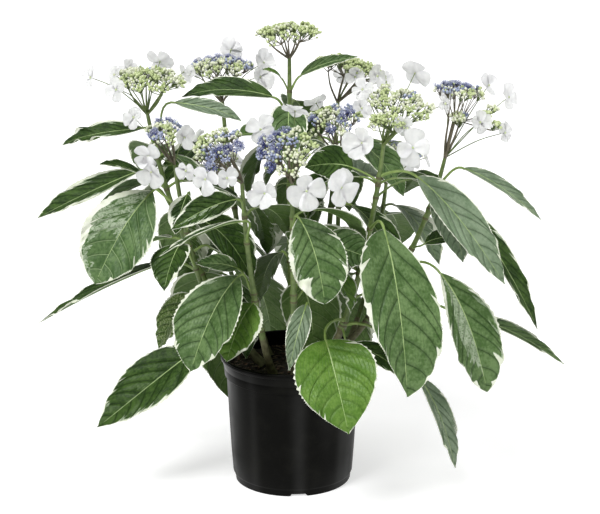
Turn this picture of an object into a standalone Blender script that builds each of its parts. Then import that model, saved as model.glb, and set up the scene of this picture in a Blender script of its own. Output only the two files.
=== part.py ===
"""A variegated lacecap hydrangea in its round nursery pot.

The pot stands on its flat underside, with the origin at the middle of that underside
and +Z up.  Eight main stems rise from the growing medium.  Each runs on into a leafy
shoot, and five of them also carry a side bough with a leafy shoot of its own.  Every
shoot ends in a flower head: rays that spread from a hub, a dome of fertile buds on
them, and large four-sepalled florets on long stalks round its edge.

Lengths are in metres and angles in degrees.  A point on the plant is (x, y, z), with
the front of the plant towards -Y.
"""

import math
import random
from dataclasses import dataclass

import bmesh
import bpy
import numpy as np
from mathutils import Vector
from mathutils.bvhtree import BVHTree

SEED = 11
GAP = 0.0004                # clearance where one solid meets the next

# Pot: a tapered shell with a rolled lip, a collar band, a foot ring and drain arches.
POT_HEIGHT = 0.174
POT_WALL = 0.0016
POT_FLOOR = 0.0024
LIP_RADIUS = 0.095
LIP_DEPTH = 0.0065
COLLAR_TOP_RADIUS = 0.0928
COLLAR_FOOT_RADIUS = 0.0894
COLLAR_DEPTH = 0.029
COLLAR_STEP = 0.0014
BODY_FOOT_RADIUS = 0.0796
FOOT_RING_RADIUS = 0.0772
FOOT_RING_HEIGHT = 0.0105
POT_SEGMENTS = 36
ARCH_COUNT = 4
ARCH_TURN = -84.0
ARCH_HEIGHT = 0.0055
ARCH_WIDTH = 0.0225
ARCH_TOP_WIDTH = 0.0160
ARCH_RUN = 0.012

# Growing medium: a plug that fills the pot to a little under its lip.
MEDIUM_TOP = 0.155
MEDIUM_CLEARANCE = 0.0004

# Stems and boughs.
STEM_SIDES = 6
STEM_FOOT_RADIUS = 0.0054
STEM_FLARE = 1.35
STEM_TIP_RADIUS = 0.0043
BOUGH_FOOT_RADIUS = 0.0038
SHOOT_FOOT_RADIUS = 0.0040
SHOOT_TIP_RADIUS = 0.0028
STEM_END = 0.22             # share of a path where the main stem gives way to the shoot
FORK = 0.13                 # share of a main path where its side bough leaves
BOUGH_LEAVING = 0.018       # how far a side bough first runs straight out
BOUGH_END = 0.16            # share of a side path where the bough gives way to the shoot
SHOOT_END = 0.93            # share of a path where the shoot gives way to the flower head

# Leaves.
PETIOLE_RADIUS = 0.0019
PETIOLE_REACH = 0.024       # level and upward run of a ruled leaf's petiole
PETIOLE_RISE = 0.008
PETIOLE_ROOT = 0.40         # share of the petiole that is its root in the stem
PETIOLE_OVERLAP = 0.05      # share of the blade that is still as thick as the petiole
BLADE_STATIONS = (0.0, 0.13, 0.43, 0.78, 1.0)
BLADE_SWELL = 0.60          # powers of the blade's outline at its base and at its tip
BLADE_TAPER = 0.80
BLADE_THICKNESS = 0.014     # of the blade's length
BLADE_FOLD = 16.0
NODE_SHARES = (0.26, 0.38, 0.50, 0.62, 0.74, 0.85)
NODE_LENGTHS = (0.165, 0.170, 0.165, 0.155, 0.135, 0.110)
TRIES = ((0, 1.0), (24, 0.9), (-24, 0.9), (0, 0.75), (38, 0.75), (-38, 0.75), (0, 0.58))
LEAF_CLEARANCE = 0.0009
LOWEST_LEAF = 0.030
FRONT_SPACE = -0.075        # in front of this plane every leaf's place is chosen
LOWEST_TIP = 0.060
SIDE_SPACE = 0.165          # low leaves reach no further out sideways
LOW = 0.270

# Flower heads.
HEAD_LEAN = 0.6             # how far a head's axis follows the lean of its rays sideways
RAY_SIDES = 3
RAY_COUNT = 5
RAY_FOOT_RADIUS = 0.0017
RAY_TIP_RADIUS = 0.0009
RAY_REACH = 0.66            # of the dome's radius
DOME_SEGMENTS = 10
DOME_RISE = 0.24            # of the dome's radius
DOME_DEPTH = 0.0085
SEPAL_COUNT = 4
FLORET_THICKNESS = 0.0016
FLORET_LEAN = 58.0
FLORET_LOOK = 0.8           # how far florets at the front and sides of a head turn to -Y
FLORET_BEHIND = 0.65        # florets that stand further back than this face the back
FLORET_UPRIGHT = 20.0       # and are this much more upright
FRONT_HEADS = 0.12          # heads behind this plane look to the back instead
FLORET_STALK_RADIUS = 0.0008


@dataclass(frozen=True)
class Leaf:
    """A leaf whose place is chosen: its node, the two ends of its blade, and its shape."""

    share: float            # of the shoot's path, where its petiole leaves
    base: tuple
    tip: tuple
    width: float = 0.56     # of the blade's length
    lift: tuple = (0.22, 0.12)
    roll: float = 0.0


@dataclass(frozen=True)
class Shoot:
    """A shoot from its foot to its flower head, with the leaves whose places are chosen."""

    name: str
    foot: tuple             # on the medium, or None on a side bough
    hub: tuple
    dome: tuple
    dome_radius: float
    florets: tuple          # (turn round the head, reach in dome radii, drop, width) of each
    bearer: str = ""        # the shoot whose main stem carries this side bough
    turn: float = 0.0       # heading of the lowest pair of leaves
    nod: float = HEAD_LEAN  # how far the head nods after its rays, to the front or the back
    leaves: tuple = ()


SHOOTS = (
    Shoot(
        "far_left", (-0.040, 0.002), (-0.185, 0.000, 0.495), (-0.180, -0.006, 0.539), 0.045,
        ((186, 1.65, 0.000, 0.028), (165, 1.05, 0.000, 0.026), (126, 1.20, 0.000, 0.026),
         (80, 1.15, -0.010, 0.033), (45, 1.25, -0.002, 0.024), (226, 1.25, 0.004, 0.028)),
        turn=200,
        leaves=(
            Leaf(0.88, (-0.190, -0.010, 0.478), (-0.291, -0.030, 0.460), 0.40, (0.02, 0.10), -16),
            Leaf(0.87, (-0.149, -0.020, 0.513), (-0.064, -0.042, 0.494), 0.30, (0.05, 0.10), 30),
            Leaf(0.74, (-0.196, -0.010, 0.422), (-0.323, -0.050, 0.370), 0.38, (0.02, 0.02), -14),
            Leaf(0.66, (-0.178, -0.030, 0.400), (-0.248, -0.095, 0.296), 0.66, (0.10, 0.06), -34),
            Leaf(0.42, (-0.172, 0.020, 0.290), (-0.338, 0.030, 0.204), 0.34, (0.03, 0.02), 0),
            Leaf(0.24, (-0.124, -0.030, 0.188), (-0.252, -0.080, 0.098), 0.46, (0.02, 0.00), -30),
            Leaf(0.30, (-0.130, 0.012, 0.246), (-0.178, 0.016, 0.172), 0.66, (0.12, 0.08), -40),
        ),
    ),
    Shoot(
        "left", None, (-0.148, -0.052, 0.440), (-0.160, -0.080, 0.488), 0.022,
        ((234, 1.30, 0.012, 0.031), (242, 1.30, 0.030, 0.034), (345, 1.25, 0.004, 0.033),
         (165, 1.70, -0.014, 0.030)),
        bearer="far_left", turn=250, nod=1.2,
        leaves=(
            Leaf(0.78, (-0.184, -0.045, 0.418), (-0.240, -0.080, 0.447), 0.42, (0.14, 0.10), -10),
            Leaf(0.68, (-0.132, -0.062, 0.404), (-0.146, -0.092, 0.360), 0.60, (0.12, 0.10), 10),
            Leaf(0.50, (-0.142, -0.060, 0.338), (-0.160, -0.112, 0.292), 0.80, (0.14, 0.10), 10),
        ),
    ),
    Shoot(
        "front_left", (-0.026, -0.034), (-0.062, -0.106, 0.430), (-0.090, -0.134, 0.482), 0.032,
        ((210, 1.40, 0.006, 0.026), (250, 1.30, 0.008, 0.033), (288, 1.25, 0.012, 0.027),
         (138, 1.00, 0.000, 0.024)),
        turn=160, nod=1.3,
        leaves=(
            Leaf(0.86, (-0.068, -0.112, 0.410), (-0.148, -0.136, 0.378), 0.44, (0.10, 0.06), -40),
            Leaf(0.74, (-0.060, -0.132, 0.388), (-0.160, -0.186, 0.358), 0.30, (0.10, 0.04), 20),
            Leaf(0.46, (-0.067, -0.092, 0.306), (-0.126, -0.156, 0.201), 0.66, (0.14, 0.08), -14),
            Leaf(0.50, (-0.070, -0.066, 0.308), (-0.122, -0.078, 0.318), 0.50, (0.10, 0.06), -40),
            Leaf(0.30, (-0.050, -0.082, 0.266), (-0.082, -0.134, 0.206), 0.78, (0.16, 0.10), -10),
        ),
    ),
    Shoot(
        "front", (0.004, -0.046), (0.000, -0.108, 0.431), (-0.006, -0.146, 0.479), 0.038,
        ((238, 1.30, 0.018, 0.036), (297, 1.35, 0.014, 0.046), (324, 2.10, 0.010, 0.046),
         (132, 1.25, 0.000, 0.036), (78, 1.25, -0.012, 0.036)),
        turn=100, nod=0.95,
        leaves=(
            Leaf(0.80, (0.008, -0.132, 0.392), (0.040, -0.186, 0.298), 0.66, (0.20, 0.14), 10),
            Leaf(0.30, (0.018, -0.086, 0.266), (-0.004, -0.132, 0.194), 0.34, (0.16, 0.12), 0),
            Leaf(0.62, (0.036, -0.076, 0.340), (0.100, -0.096, 0.328), 0.80, (0.10, 0.06), 62),
            Leaf(0.46, (0.050, -0.062, 0.306), (0.074, -0.092, 0.256), 0.80, (0.12, 0.08), 10),
        ),
    ),
    Shoot(
        "top", (-0.002, 0.012), (-0.004, 0.050, 0.558), (-0.006, 0.050, 0.590), 0.042, (),
        turn=175,
        leaves=(
            Leaf(0.82, (-0.025, 0.034, 0.509), (-0.142, 0.024, 0.511), 0.42, (0.10, 0.12), -20),
            Leaf(0.90, (-0.014, 0.043, 0.532), (-0.038, 0.030, 0.546), 0.50, (0.14, 0.10), -20),
            Leaf(0.90, (0.010, 0.048, 0.534), (0.084, 0.044, 0.560), 0.32, (0.10, 0.06), 26),
        ),
    ),
    Shoot(
        "rear_left", (-0.032, 0.036), (-0.093, 0.100, 0.490), (-0.093, 0.102, 0.535), 0.044,
        ((78, 1.10, -0.016, 0.035), (12, 1.25, -0.004, 0.038), (340, 1.20, 0.010, 0.034),
         (208, 1.05, 0.006, 0.025), (130, 1.15, 0.006, 0.030)),
        turn=140,
    ),
    Shoot(
        "rear_right", (0.026, 0.040), (0.060, 0.100, 0.490), (0.079, 0.108, 0.533), 0.048,
        ((273, 0.95, 0.008, 0.029), (312, 1.00, 0.000, 0.028), (100, 1.15, 0.018, 0.030),
         (40, 1.20, 0.012, 0.032)),
        turn=60,
    ),
    Shoot(
        "inner_right", None, (0.062, 0.030, 0.432), (0.052, 0.010, 0.484), 0.037,
        ((117, 1.25, -0.002, 0.034), (30, 1.15, 0.000, 0.029)),
        bearer="rear_right", turn=320, nod=0.9,
    ),
    Shoot(
        "front_right", (0.038, -0.024), (0.114, -0.066, 0.470), (0.133, -0.092, 0.522), 0.042,
        ((153, 1.25, 0.000, 0.027), (212, 1.35, 0.036, 0.040), (273, 0.85, 0.002, 0.027),
         (284, 1.30, 0.018, 0.040), (69, 1.35, -0.016, 0.035), (20, 1.45, -0.002, 0.020)),
        turn=290, nod=0.8,
        leaves=(
            Leaf(0.88, (0.156, -0.076, 0.430), (0.265, -0.116, 0.302), 0.36, (0.08, 0.04), 30),
            Leaf(0.86, (0.076, -0.070, 0.440), (0.016, -0.084, 0.444), 0.80, (0.12, 0.08), -56),
            Leaf(0.68, (0.114, -0.112, 0.372), (0.142, -0.186, 0.178), 0.49, (0.12, 0.08), 0),
            Leaf(0.28, (0.042, -0.120, 0.230), (0.070, -0.192, 0.132), 0.86, (0.16, 0.10), 0),
            Leaf(0.26, (0.163, -0.056, 0.158), (0.212, -0.076, 0.040), 0.34, (0.10, 0.06), 20),
            Leaf(0.24, (0.074, -0.060, 0.204), (0.153, -0.086, 0.164), 0.40, (0.12, 0.08), 20),
            Leaf(0.80, (0.152, -0.030, 0.416), (0.202, -0.010, 0.396), 0.56, (0.14, 0.10), 30),
        ),
    ),
    Shoot(
        "far_right", (0.046, 0.010), (0.198, 0.028, 0.430), (0.217, 0.026, 0.518), 0.032,
        ((28, 1.30, -0.008, 0.031), (0, 1.90, 0.000, 0.035), (303, 1.25, 0.030, 0.034),
         (346, 1.80, 0.044, 0.032), (110, 1.20, 0.010, 0.028)),
        turn=20,
        leaves=(
            Leaf(0.88, (0.222, 0.020, 0.418), (0.324, 0.016, 0.350), 0.30, (0.08, 0.06), 16),
            Leaf(0.78, (0.232, 0.000, 0.364), (0.319, -0.024, 0.213), 0.30, (0.02, 0.04), 10),
            Leaf(0.52, (0.190, -0.030, 0.292), (0.250, -0.084, 0.148), 0.46, (0.14, 0.08), 14),
            Leaf(0.34, (0.240, 0.026, 0.212), (0.364, 0.036, 0.144), 0.26, (0.08, 0.06), 16),
            Leaf(0.60, (0.172, -0.006, 0.324), (0.214, -0.010, 0.334), 0.60, (0.12, 0.08), 40),
        ),
    ),
    Shoot(
        "back_left", None, (-0.110, 0.165, 0.352), (-0.116, 0.186, 0.392), 0.038,
        ((80, 1.15, 0.010, 0.036), (140, 1.20, 0.014, 0.034), (200, 1.15, 0.006, 0.030),
         (30, 1.10, 0.006, 0.038)),
        bearer="rear_left", turn=110,
    ),
    Shoot(
        "back_right", None, (0.128, 0.165, 0.362), (0.138, 0.186, 0.404), 0.040,
        ((60, 1.15, 0.010, 0.038), (110, 1.20, 0.014, 0.034), (350, 1.10, 0.006, 0.030),
         (160, 1.10, 0.004, 0.034)),
        bearer="far_right", turn=40,
    ),
    Shoot(
        "back", None, (0.004, 0.190, 0.372), (0.004, 0.214, 0.412), 0.042,
        ((50, 1.15, 0.012, 0.034), (95, 1.20, 0.016, 0.038), (140, 1.15, 0.008, 0.032),
         (355, 1.10, 0.004, 0.034)),
        bearer="top", turn=90,
    ),
)


def unit(vector):
    """The vector at length 1."""
    return vector / np.linalg.norm(vector)


def heading(degrees):
    """The level direction that lies so many degrees round from +X."""
    return np.array((math.cos(math.radians(degrees)), math.sin(math.radians(degrees)), 0.0))


def curve(controls, shares):
    """Points of the cubic curve with these four control points, at an array of shares."""
    a, b, c, d = (np.asarray(p, dtype=float) for p in controls)
    t = np.atleast_1d(np.asarray(shares, dtype=float))[:, None]
    return (1 - t) ** 3 * a + 3 * (1 - t) ** 2 * t * b + 3 * (1 - t) * t ** 2 * c + t ** 3 * d


def slope(controls, shares):
    """Unit directions of the cubic curve with these four control points."""
    a, b, c, d = (np.asarray(p, dtype=float) for p in controls)
    t = np.atleast_1d(np.asarray(shares, dtype=float))[:, None]
    rise = (1 - t) ** 2 * (b - a) + 2 * (1 - t) * t * (c - b) + t ** 2 * (d - c)
    return rise / np.linalg.norm(rise, axis=1)[:, None]


def shoot_path(foot, hub, leaving=(0.0, 0.0, 0.0)):
    """A shoot's path leaves its foot outwards and bends up towards its hub."""
    foot = np.asarray(foot, dtype=float)
    run = np.asarray(hub, dtype=float) - foot
    return (foot, foot + run * (0.50, 0.50, 0.25) + leaving,
            foot + run * (0.85, 0.85, 0.62), foot + run)


def tube(points, radii, sides, foot_normal=None, end_normal=None):
    """A closed tapering tube: its vertices and faces.  The normals turn its end rings."""
    points = np.asarray(points, dtype=float)
    along = np.gradient(points, axis=0)
    along /= np.linalg.norm(along, axis=1)[:, None]
    if foot_normal is not None:
        along[0] = foot_normal
    if end_normal is not None:
        along[-1] = end_normal
    across = unit(np.cross(along[-1], (0.30, -0.95, 0.10)))
    angles = np.arange(sides) * 2 * math.pi / sides
    vertices = []
    for point, direction, radius in zip(points, along, radii):
        across = unit(across - direction * across.dot(direction))
        third = np.cross(direction, across)
        ring = np.outer(np.cos(angles), across) + np.outer(np.sin(angles), third)
        vertices.extend(point + radius * ring)
    faces = [tuple(range(sides))[::-1]]
    for step in range(len(points) - 1):
        for side in range(sides):
            low, far = step * sides + side, step * sides + (side + 1) % sides
            faces.append((low, far, far + sides, low + sides))
    faces.append(tuple(range((len(points) - 1) * sides, len(points) * sides)))
    return np.array(vertices), faces


def outline(shares):
    """Half-width of a leaf's blade at shares of its length, at most 0.5: ovate and pointed."""
    peak = BLADE_SWELL / (BLADE_SWELL + BLADE_TAPER)
    top = peak ** BLADE_SWELL * (1 - peak) ** BLADE_TAPER
    return 0.5 * shares ** BLADE_SWELL * (1 - shares) ** BLADE_TAPER / top


class LeafShape:
    """A leaf from its node: a petiole that bends over into a folded, arching blade."""

    def __init__(self, node, base, tip, width, lift, roll):
        node, base, tip = (np.asarray(p, dtype=float) for p in (node, base, tip))
        chord = tip - base
        self.length = float(np.linalg.norm(chord))
        up = np.array((0.0, 0.0, 1.0))
        self.side = unit(np.cross(up, unit((tip - node) * (1, 1, 0) + (1e-6, 0, 0))))
        arch = unit(np.cross(chord, self.side)) * self.length
        self.controls = (base, base + chord * 0.30 + arch * lift[0],
                         base + chord * 0.68 + arch * lift[1], tip)
        stalk = float(np.linalg.norm(base - node))
        leaving = unit((base - node) * (1, 1, 0.4) + up * stalk * 0.5)
        self.stalk = (node, node + leaving * stalk * 0.45,
                      base - slope(self.controls, 0.0)[0] * stalk * 0.35, base)
        self.width = width * self.length
        self.roll = math.radians(roll)

    def frame(self, shares):
        """Points, directions, side vectors and upper normals along the blade."""
        points, along = curve(self.controls, shares), slope(self.controls, shares)
        side = self.side - along * (along @ self.side)[:, None]
        side /= np.linalg.norm(side, axis=1)[:, None]
        normal = np.cross(along, side)
        turn = self.roll
        return (points, along, side * math.cos(turn) + normal * math.sin(turn),
                normal * math.cos(turn) - side * math.sin(turn))

    def solid(self, extra=0.0, start=0.0):
        """The whole leaf: a four-sided petiole that opens into a thin folded blade."""
        stalk = np.array((start, start + (1 - start) * 0.55))
        shares = np.array(BLADE_STATIONS)
        points, along, side, normal = self.frame(shares)
        half = outline(shares)[:, None] * self.width
        thick = 0.5 * BLADE_THICKNESS * self.length
        fold = math.radians(BLADE_FOLD)
        half, thick = np.maximum(half, PETIOLE_RADIUS * 0.85) + extra, thick + extra
        rise = np.where(shares < PETIOLE_OVERLAP, PETIOLE_RADIUS * 0.85 + extra, thick)[:, None]
        rings = []
        for point, way, size in zip(curve(self.stalk, stalk), slope(self.stalk, stalk),
                                    (1.15, 1.0)):
            across = unit(side[0] - way * way.dot(side[0])) * (PETIOLE_RADIUS * size + extra)
            over = np.cross(way, across)
            rings += [point + across, point + over, point - across, point - over]
        spread, drop = side * math.cos(fold), normal * math.sin(fold)
        for step in range(len(shares) - 1):
            rings += [points[step] + (spread[step] + drop[step]) * half[step],
                      points[step] + normal[step] * rise[step],
                      points[step] + (drop[step] - spread[step]) * half[step],
                      points[step] - normal[step] * rise[step]]
        rings.append(points[-1] + along[-1] * extra)
        last = len(rings) - 1
        faces = [(3, 2, 1, 0)]
        for corner in range(4):
            after = (corner + 1) % 4
            faces += [(low + corner, low + after, low + 4 + after, low + 4 + corner)
                      for low in range(0, last - 4, 4)]
            faces.append((last, last - 4 + corner, last - 4 + after))
        return np.array(rings), faces


def stalked_floret(stalk, facing, width, turn):
    """A sterile floret: four round sepals on a thin star, on the end of its own stalk."""
    facing = unit(facing)
    centre = stalk[-1] + facing * FLORET_THICKNESS
    radii = np.array((1.4, 1.0, 1.2)) * FLORET_STALK_RADIUS
    vertices, faces = tube(stalk, radii, RAY_SIDES, end_normal=facing)
    first = unit(vertices[-RAY_SIDES] - stalk[-1])
    second = np.cross(facing, first)
    reach = (0.44, 0.95, 0.95)
    count = SEPAL_COUNT * len(reach)
    rim = []
    for step in range(count):
        angle = math.radians(turn % 30 - 15 + 360.0 * step / count)
        place = step + int(turn / 30)
        lift = 0.10 if (place // len(reach)) % 2 else -0.04
        rim.append(centre + 0.5 * width * (
            (first * math.cos(angle) + second * math.sin(angle)) * reach[place % len(reach)]
            + facing * lift))
    ring, edge = len(vertices) - RAY_SIDES, len(vertices)
    crest = edge + count
    each = count // RAY_SIDES
    faces = faces[:-1]
    for step in range(count):
        here, after = edge + step, edge + (step + 1) % count
        faces.append((crest, here, after))
        faces.append((ring + step // each, after, here))
        if step % each == 0:
            faces.append((ring + step // each, here, ring + (step // each - 1) % RAY_SIDES))
    return np.vstack((vertices, rim, (centre + facing * FLORET_THICKNESS,))), faces


def head_frame(shoot):
    """Axis of a flower head and two vectors across it, the first level and towards +X."""
    axis = unit(np.subtract(shoot.dome, shoot.hub) * (HEAD_LEAN, shoot.nod, 1.0))
    second = unit(np.cross(axis, (1.0, 0.0, 0.0)))
    return axis, np.cross(second, axis), second


def bud_dome(shoot, chance):
    """The dome of fertile buds: a lumpy cap that is thin at its scalloped edge."""
    axis, first, second = head_frame(shoot)
    radius, centre = shoot.dome_radius, np.array(shoot.dome)
    rings = (0.42, 0.80, 1.0)
    vertices = [centre + axis * DOME_RISE * radius]
    for share in rings:
        for step in range(DOME_SEGMENTS):
            lump = 1.0 + (0.09 if step % 2 else -0.07) + chance.uniform(-0.03, 0.03)
            height = DOME_RISE * radius * (1 - share ** 2) * (1 + 0.6 * (lump - 1))
            angle = 2 * math.pi * (step + chance.uniform(-0.12, 0.12)) / DOME_SEGMENTS
            out = first * math.cos(angle) + second * math.sin(angle)
            vertices.append(centre + axis * height + out * radius * share * lump)
    vertices.append(centre - axis * DOME_DEPTH)
    last = len(vertices) - 1
    faces = []
    for step in range(DOME_SEGMENTS):
        after = (step + 1) % DOME_SEGMENTS
        faces.append((0, 1 + step, 1 + after))
        for ring in range(len(rings) - 1):
            low = 1 + ring * DOME_SEGMENTS
            faces.append((low + after, low + step, low + DOME_SEGMENTS + step))
            faces.append((low + after, low + DOME_SEGMENTS + step, low + DOME_SEGMENTS + after))
        under = last - DOME_SEGMENTS
        faces.append((last, under + after, under + step))
    return np.array(vertices), faces


def head_solids(shoot, path, chance):
    """Everything of one flower head: peduncle, rays, dome, stalks and florets."""
    axis, first, second = head_frame(shoot)
    hub, radius = np.array(shoot.hub), shoot.dome_radius
    length = float(np.linalg.norm(path[3] - path[0]))
    start = SHOOT_END + GAP / length
    shares = np.array((start, (start + 1) / 2, 1.0))
    radii = np.array((SHOOT_TIP_RADIUS, SHOOT_TIP_RADIUS * 0.94, SHOOT_TIP_RADIUS * 0.80))
    ducts = np.vstack((curve(path, shares), hub + axis * 0.006))
    solids = [tube(ducts, np.append(radii, RAY_FOOT_RADIUS), STEM_SIDES,
                   slope(path, SHOOT_END)[0])]
    dome = np.array(shoot.dome)
    for ray in range(RAY_COUNT):
        angle = 2 * math.pi * (ray + chance.uniform(-0.2, 0.2)) / RAY_COUNT
        out = first * math.cos(angle) + second * math.sin(angle)
        reach = 0.0 if ray == 0 else RAY_REACH * radius
        tip = dome + out * reach - axis * DOME_DEPTH * 0.2
        bend = hub + (tip - hub) * 0.5 + out * reach * 0.14
        points = curve((hub, bend, bend, tip), (0.0, 0.5, 1.0))
        solids.append(tube(points, (RAY_FOOT_RADIUS, 0.5 * (RAY_FOOT_RADIUS + RAY_TIP_RADIUS),
                                    RAY_TIP_RADIUS), RAY_SIDES))
    solids.append(bud_dome(shoot, chance))
    for turn, reach, drop, width in shoot.florets:
        out = first * math.cos(math.radians(turn)) + second * math.sin(math.radians(turn))
        centre = dome + out * radius * reach - np.array((0, 0, 1)) * drop
        ahead, behind = dome[1] < FRONT_HEADS, out[1] > FLORET_BEHIND
        lean = math.radians(FLORET_LEAN + 400 * drop + FLORET_UPRIGHT * (ahead and behind)
                            + chance.uniform(-12, 12))
        look = FLORET_LOOK * (1 + out[1]) * (ahead and not behind)
        facing = axis * math.cos(lean) + out * math.sin(lean) - np.array((0, look, 0))
        bend = hub + (centre - hub) * 0.55 + axis * radius * 0.20
        points = curve((hub, bend, bend, centre), (0.0, 0.5, 1.0))
        solids.append(stalked_floret(points, facing, width * chance.uniform(0.92, 1.06),
                                     chance.uniform(0, 90)))
    return solids


class Crown:
    """Keeps the solids of every limb and mass, and says whether a new leaf has room."""

    def __init__(self):
        self.solids = {}
        self.trees = {}

    def add(self, node, solid):
        """Put a solid into a node."""
        self.solids.setdefault(node, []).append(solid)
        self.block(node, *solid)

    def block(self, node, vertices, faces):
        """Keep the space of this surface from every leaf that comes later."""
        tree = BVHTree.FromPolygons([tuple(v) for v in vertices], faces, epsilon=0.0)
        self.trees.setdefault(node, []).append(tree)

    def blocker(self, node, leaf):
        """What a leaf, made a little fatter, would meet besides its own shoot's stem."""
        vertices, faces = leaf.solid(LEAF_CLEARANCE, PETIOLE_ROOT)
        if min(vertices[:, 2]) < LOWEST_LEAF:
            return "ground"
        shape = BVHTree.FromPolygons([tuple(v) for v in vertices], faces, epsilon=0.0)
        for other, trees in self.trees.items():
            own_stem = 1 if other == node else 0
            for index, tree in enumerate(trees[own_stem:]):
                if shape.overlap(tree):
                    return f"{other} {index + own_stem}"
        return ""

    def add_leaf(self, node, leaf):
        """Put a leaf into its mass where it has room, and say what is in its way if not."""
        blocker = self.blocker(node, leaf)
        if not blocker:
            self.add(node, leaf.solid())
        return blocker


def limb(path, start, end, radii, rings, foot_normal=None):
    """A stretch of a path as a tapering tube."""
    shares = np.linspace(start, end, rings)
    return tube(curve(path, shares), np.linspace(radii[0], radii[1], rings), STEM_SIDES,
                foot_normal)


def seat(tree, joint, out, radius):
    """Where a flat foot of this radius, square to out, just clears the bearer's surface."""
    across = unit(np.cross(out, (0.0, 0.0, 1.0)))
    over = np.cross(out, across)
    reach = 0.0
    for share in (0.0, 0.5, 1.0):
        for side in range(12):
            angle = math.radians(30 * side)
            start = joint + out * 0.02 + radius * share * (
                across * math.cos(angle) + over * math.sin(angle))
            hit = tree.ray_cast(Vector(start), Vector(-out))[0]
            if hit is not None:
                reach = max(reach, float(out.dot(np.array(hit) - joint)))
    return joint + out * (reach + GAP)


def grow_limbs(crown):
    """Main stems, side boughs and the stems of the leafy shoots.  Returns each shoot's path."""
    paths = {}
    top = MEDIUM_TOP + GAP
    for shoot in SHOOTS:
        if shoot.bearer:
            continue
        path = shoot_path((*shoot.foot, top), shoot.hub)
        paths[shoot.name] = path
        shares = np.array((0.0, 0.035, 0.09, 0.15, STEM_END))
        radii = np.interp(shares, (0.0, STEM_END), (STEM_FOOT_RADIUS, STEM_TIP_RADIUS))
        radii[0] *= STEM_FLARE
        crown.add("main_stem_" + shoot.name,
                  tube(curve(path, shares), radii, STEM_SIDES, (0.0, 0.0, 1.0)))
    for shoot in SHOOTS:
        if not shoot.bearer:
            continue
        bearer = paths[shoot.bearer]
        joint = curve(bearer, FORK)[0]
        out = unit((np.array(shoot.hub) - joint) * (1, 1, 0))
        along = slope(bearer, FORK)[0]
        out = unit(out - along * out.dot(along))
        foot = seat(crown.trees["main_stem_" + shoot.bearer][0], joint, out, BOUGH_FOOT_RADIUS)
        path = shoot_path(foot, shoot.hub, out * BOUGH_LEAVING)
        paths[shoot.name] = path
        crown.add("side_bough_" + shoot.name,
                  limb(path, 0.0, BOUGH_END, (BOUGH_FOOT_RADIUS, SHOOT_FOOT_RADIUS), 4, out))
    for shoot in SHOOTS:
        path = paths[shoot.name]
        start = (BOUGH_END if shoot.bearer else STEM_END)
        step = GAP / float(np.linalg.norm(curve(path, start + 0.01) - curve(path, start))) * 0.01
        crown.add("foliage_" + shoot.name,
                  limb(path, start + step, SHOOT_END, (SHOOT_FOOT_RADIUS, SHOOT_TIP_RADIUS), 8,
                       slope(path, start)[0]))
    return paths


def grow_chosen_leaves(crown, paths):
    """The leaves whose places are chosen.  Returns those that found no room."""
    left_out = []
    for shoot in SHOOTS:
        for plan in shoot.leaves:
            shape = LeafShape(curve(paths[shoot.name], plan.share)[0], plan.base, plan.tip,
                              plan.width, plan.lift, plan.roll)
            blocker = crown.add_leaf("foliage_" + shoot.name, shape)
            if blocker:
                left_out.append((shoot.name, plan, blocker))
    return left_out


def grow_ruled_leaves(crown, paths):
    """Pairs of leaves, each pair a quarter turn from the last, wherever there is room."""
    grown = 0
    for shoot in SHOOTS:
        chance = random.Random(f"{SEED} leaves {shoot.name}")
        path = paths[shoot.name]
        for order, (share, length) in enumerate(zip(NODE_SHARES, NODE_LENGTHS)):
            node = curve(path, share)[0]
            for side in (0, 180):
                turn = shoot.turn + 90 * order + side + chance.uniform(-14, 14)
                length_here = length * chance.uniform(0.85, 1.08)
                fall = math.radians(chance.uniform(12, 42) + 8 * (len(NODE_SHARES) - order))
                roll = chance.uniform(-18, 18)
                width = chance.uniform(0.50, 0.66)
                for aside, shorter in TRIES:
                    reach, way = length_here * shorter, heading(turn + aside)
                    base = node + way * PETIOLE_REACH + (0, 0, PETIOLE_RISE)
                    tip = base + way * reach * math.cos(fall) - (0, 0, reach * math.sin(fall))
                    if (tip[1] < FRONT_SPACE or tip[2] < LOWEST_TIP
                            or tip[2] < LOW and abs(tip[0]) > SIDE_SPACE):
                        continue
                    shape = LeafShape(node, base, tip, width, (0.20, 0.12), roll)
                    if not crown.add_leaf("foliage_" + shoot.name, shape):
                        grown += 1
                        break
    return grown


def grow(obstacles):
    """The whole plant as loose solids, kept by node, clear of these objects."""
    crown = Crown()
    for thing in obstacles:
        crown.block(thing.name, [vertex.co for vertex in thing.data.vertices],
                    [tuple(face.vertices) for face in thing.data.polygons])
    crown.paths = grow_limbs(crown)
    for shoot in SHOOTS:
        chance = random.Random(f"{SEED} head {shoot.name}")
        for solid in head_solids(shoot, crown.paths[shoot.name], chance):
            crown.add("flower_head_" + shoot.name, solid)
    crown.left_out = grow_chosen_leaves(crown, crown.paths)
    crown.ruled = grow_ruled_leaves(crown, crown.paths)
    return crown


def finish(name, colour, roughness):
    """A Principled material with the part's colour and roughness."""
    material = bpy.data.materials.new(name)
    material.use_nodes = True
    shader = material.node_tree.nodes["Principled BSDF"]
    shader.inputs["Base Color"].default_value = (*colour, 1.0)
    shader.inputs["Roughness"].default_value = roughness
    shader.inputs["Metallic"].default_value = 0.0
    return material


def mesh_object(name, vertices, faces, material):
    """A new object that holds this mesh."""
    mesh = bpy.data.meshes.new(name)
    mesh.from_pydata([tuple(v) for v in vertices], [], [tuple(f) for f in faces])
    mesh.materials.append(material)
    thing = bpy.data.objects.new(name, mesh)
    bpy.context.scene.collection.objects.link(thing)
    return thing


def point_faces_out(mesh):
    """Turn every face of a closed mesh to the outside."""
    work = bmesh.new()
    work.from_mesh(mesh)
    bmesh.ops.recalc_face_normals(work, faces=work.faces)
    work.to_mesh(mesh)
    work.free()


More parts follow.
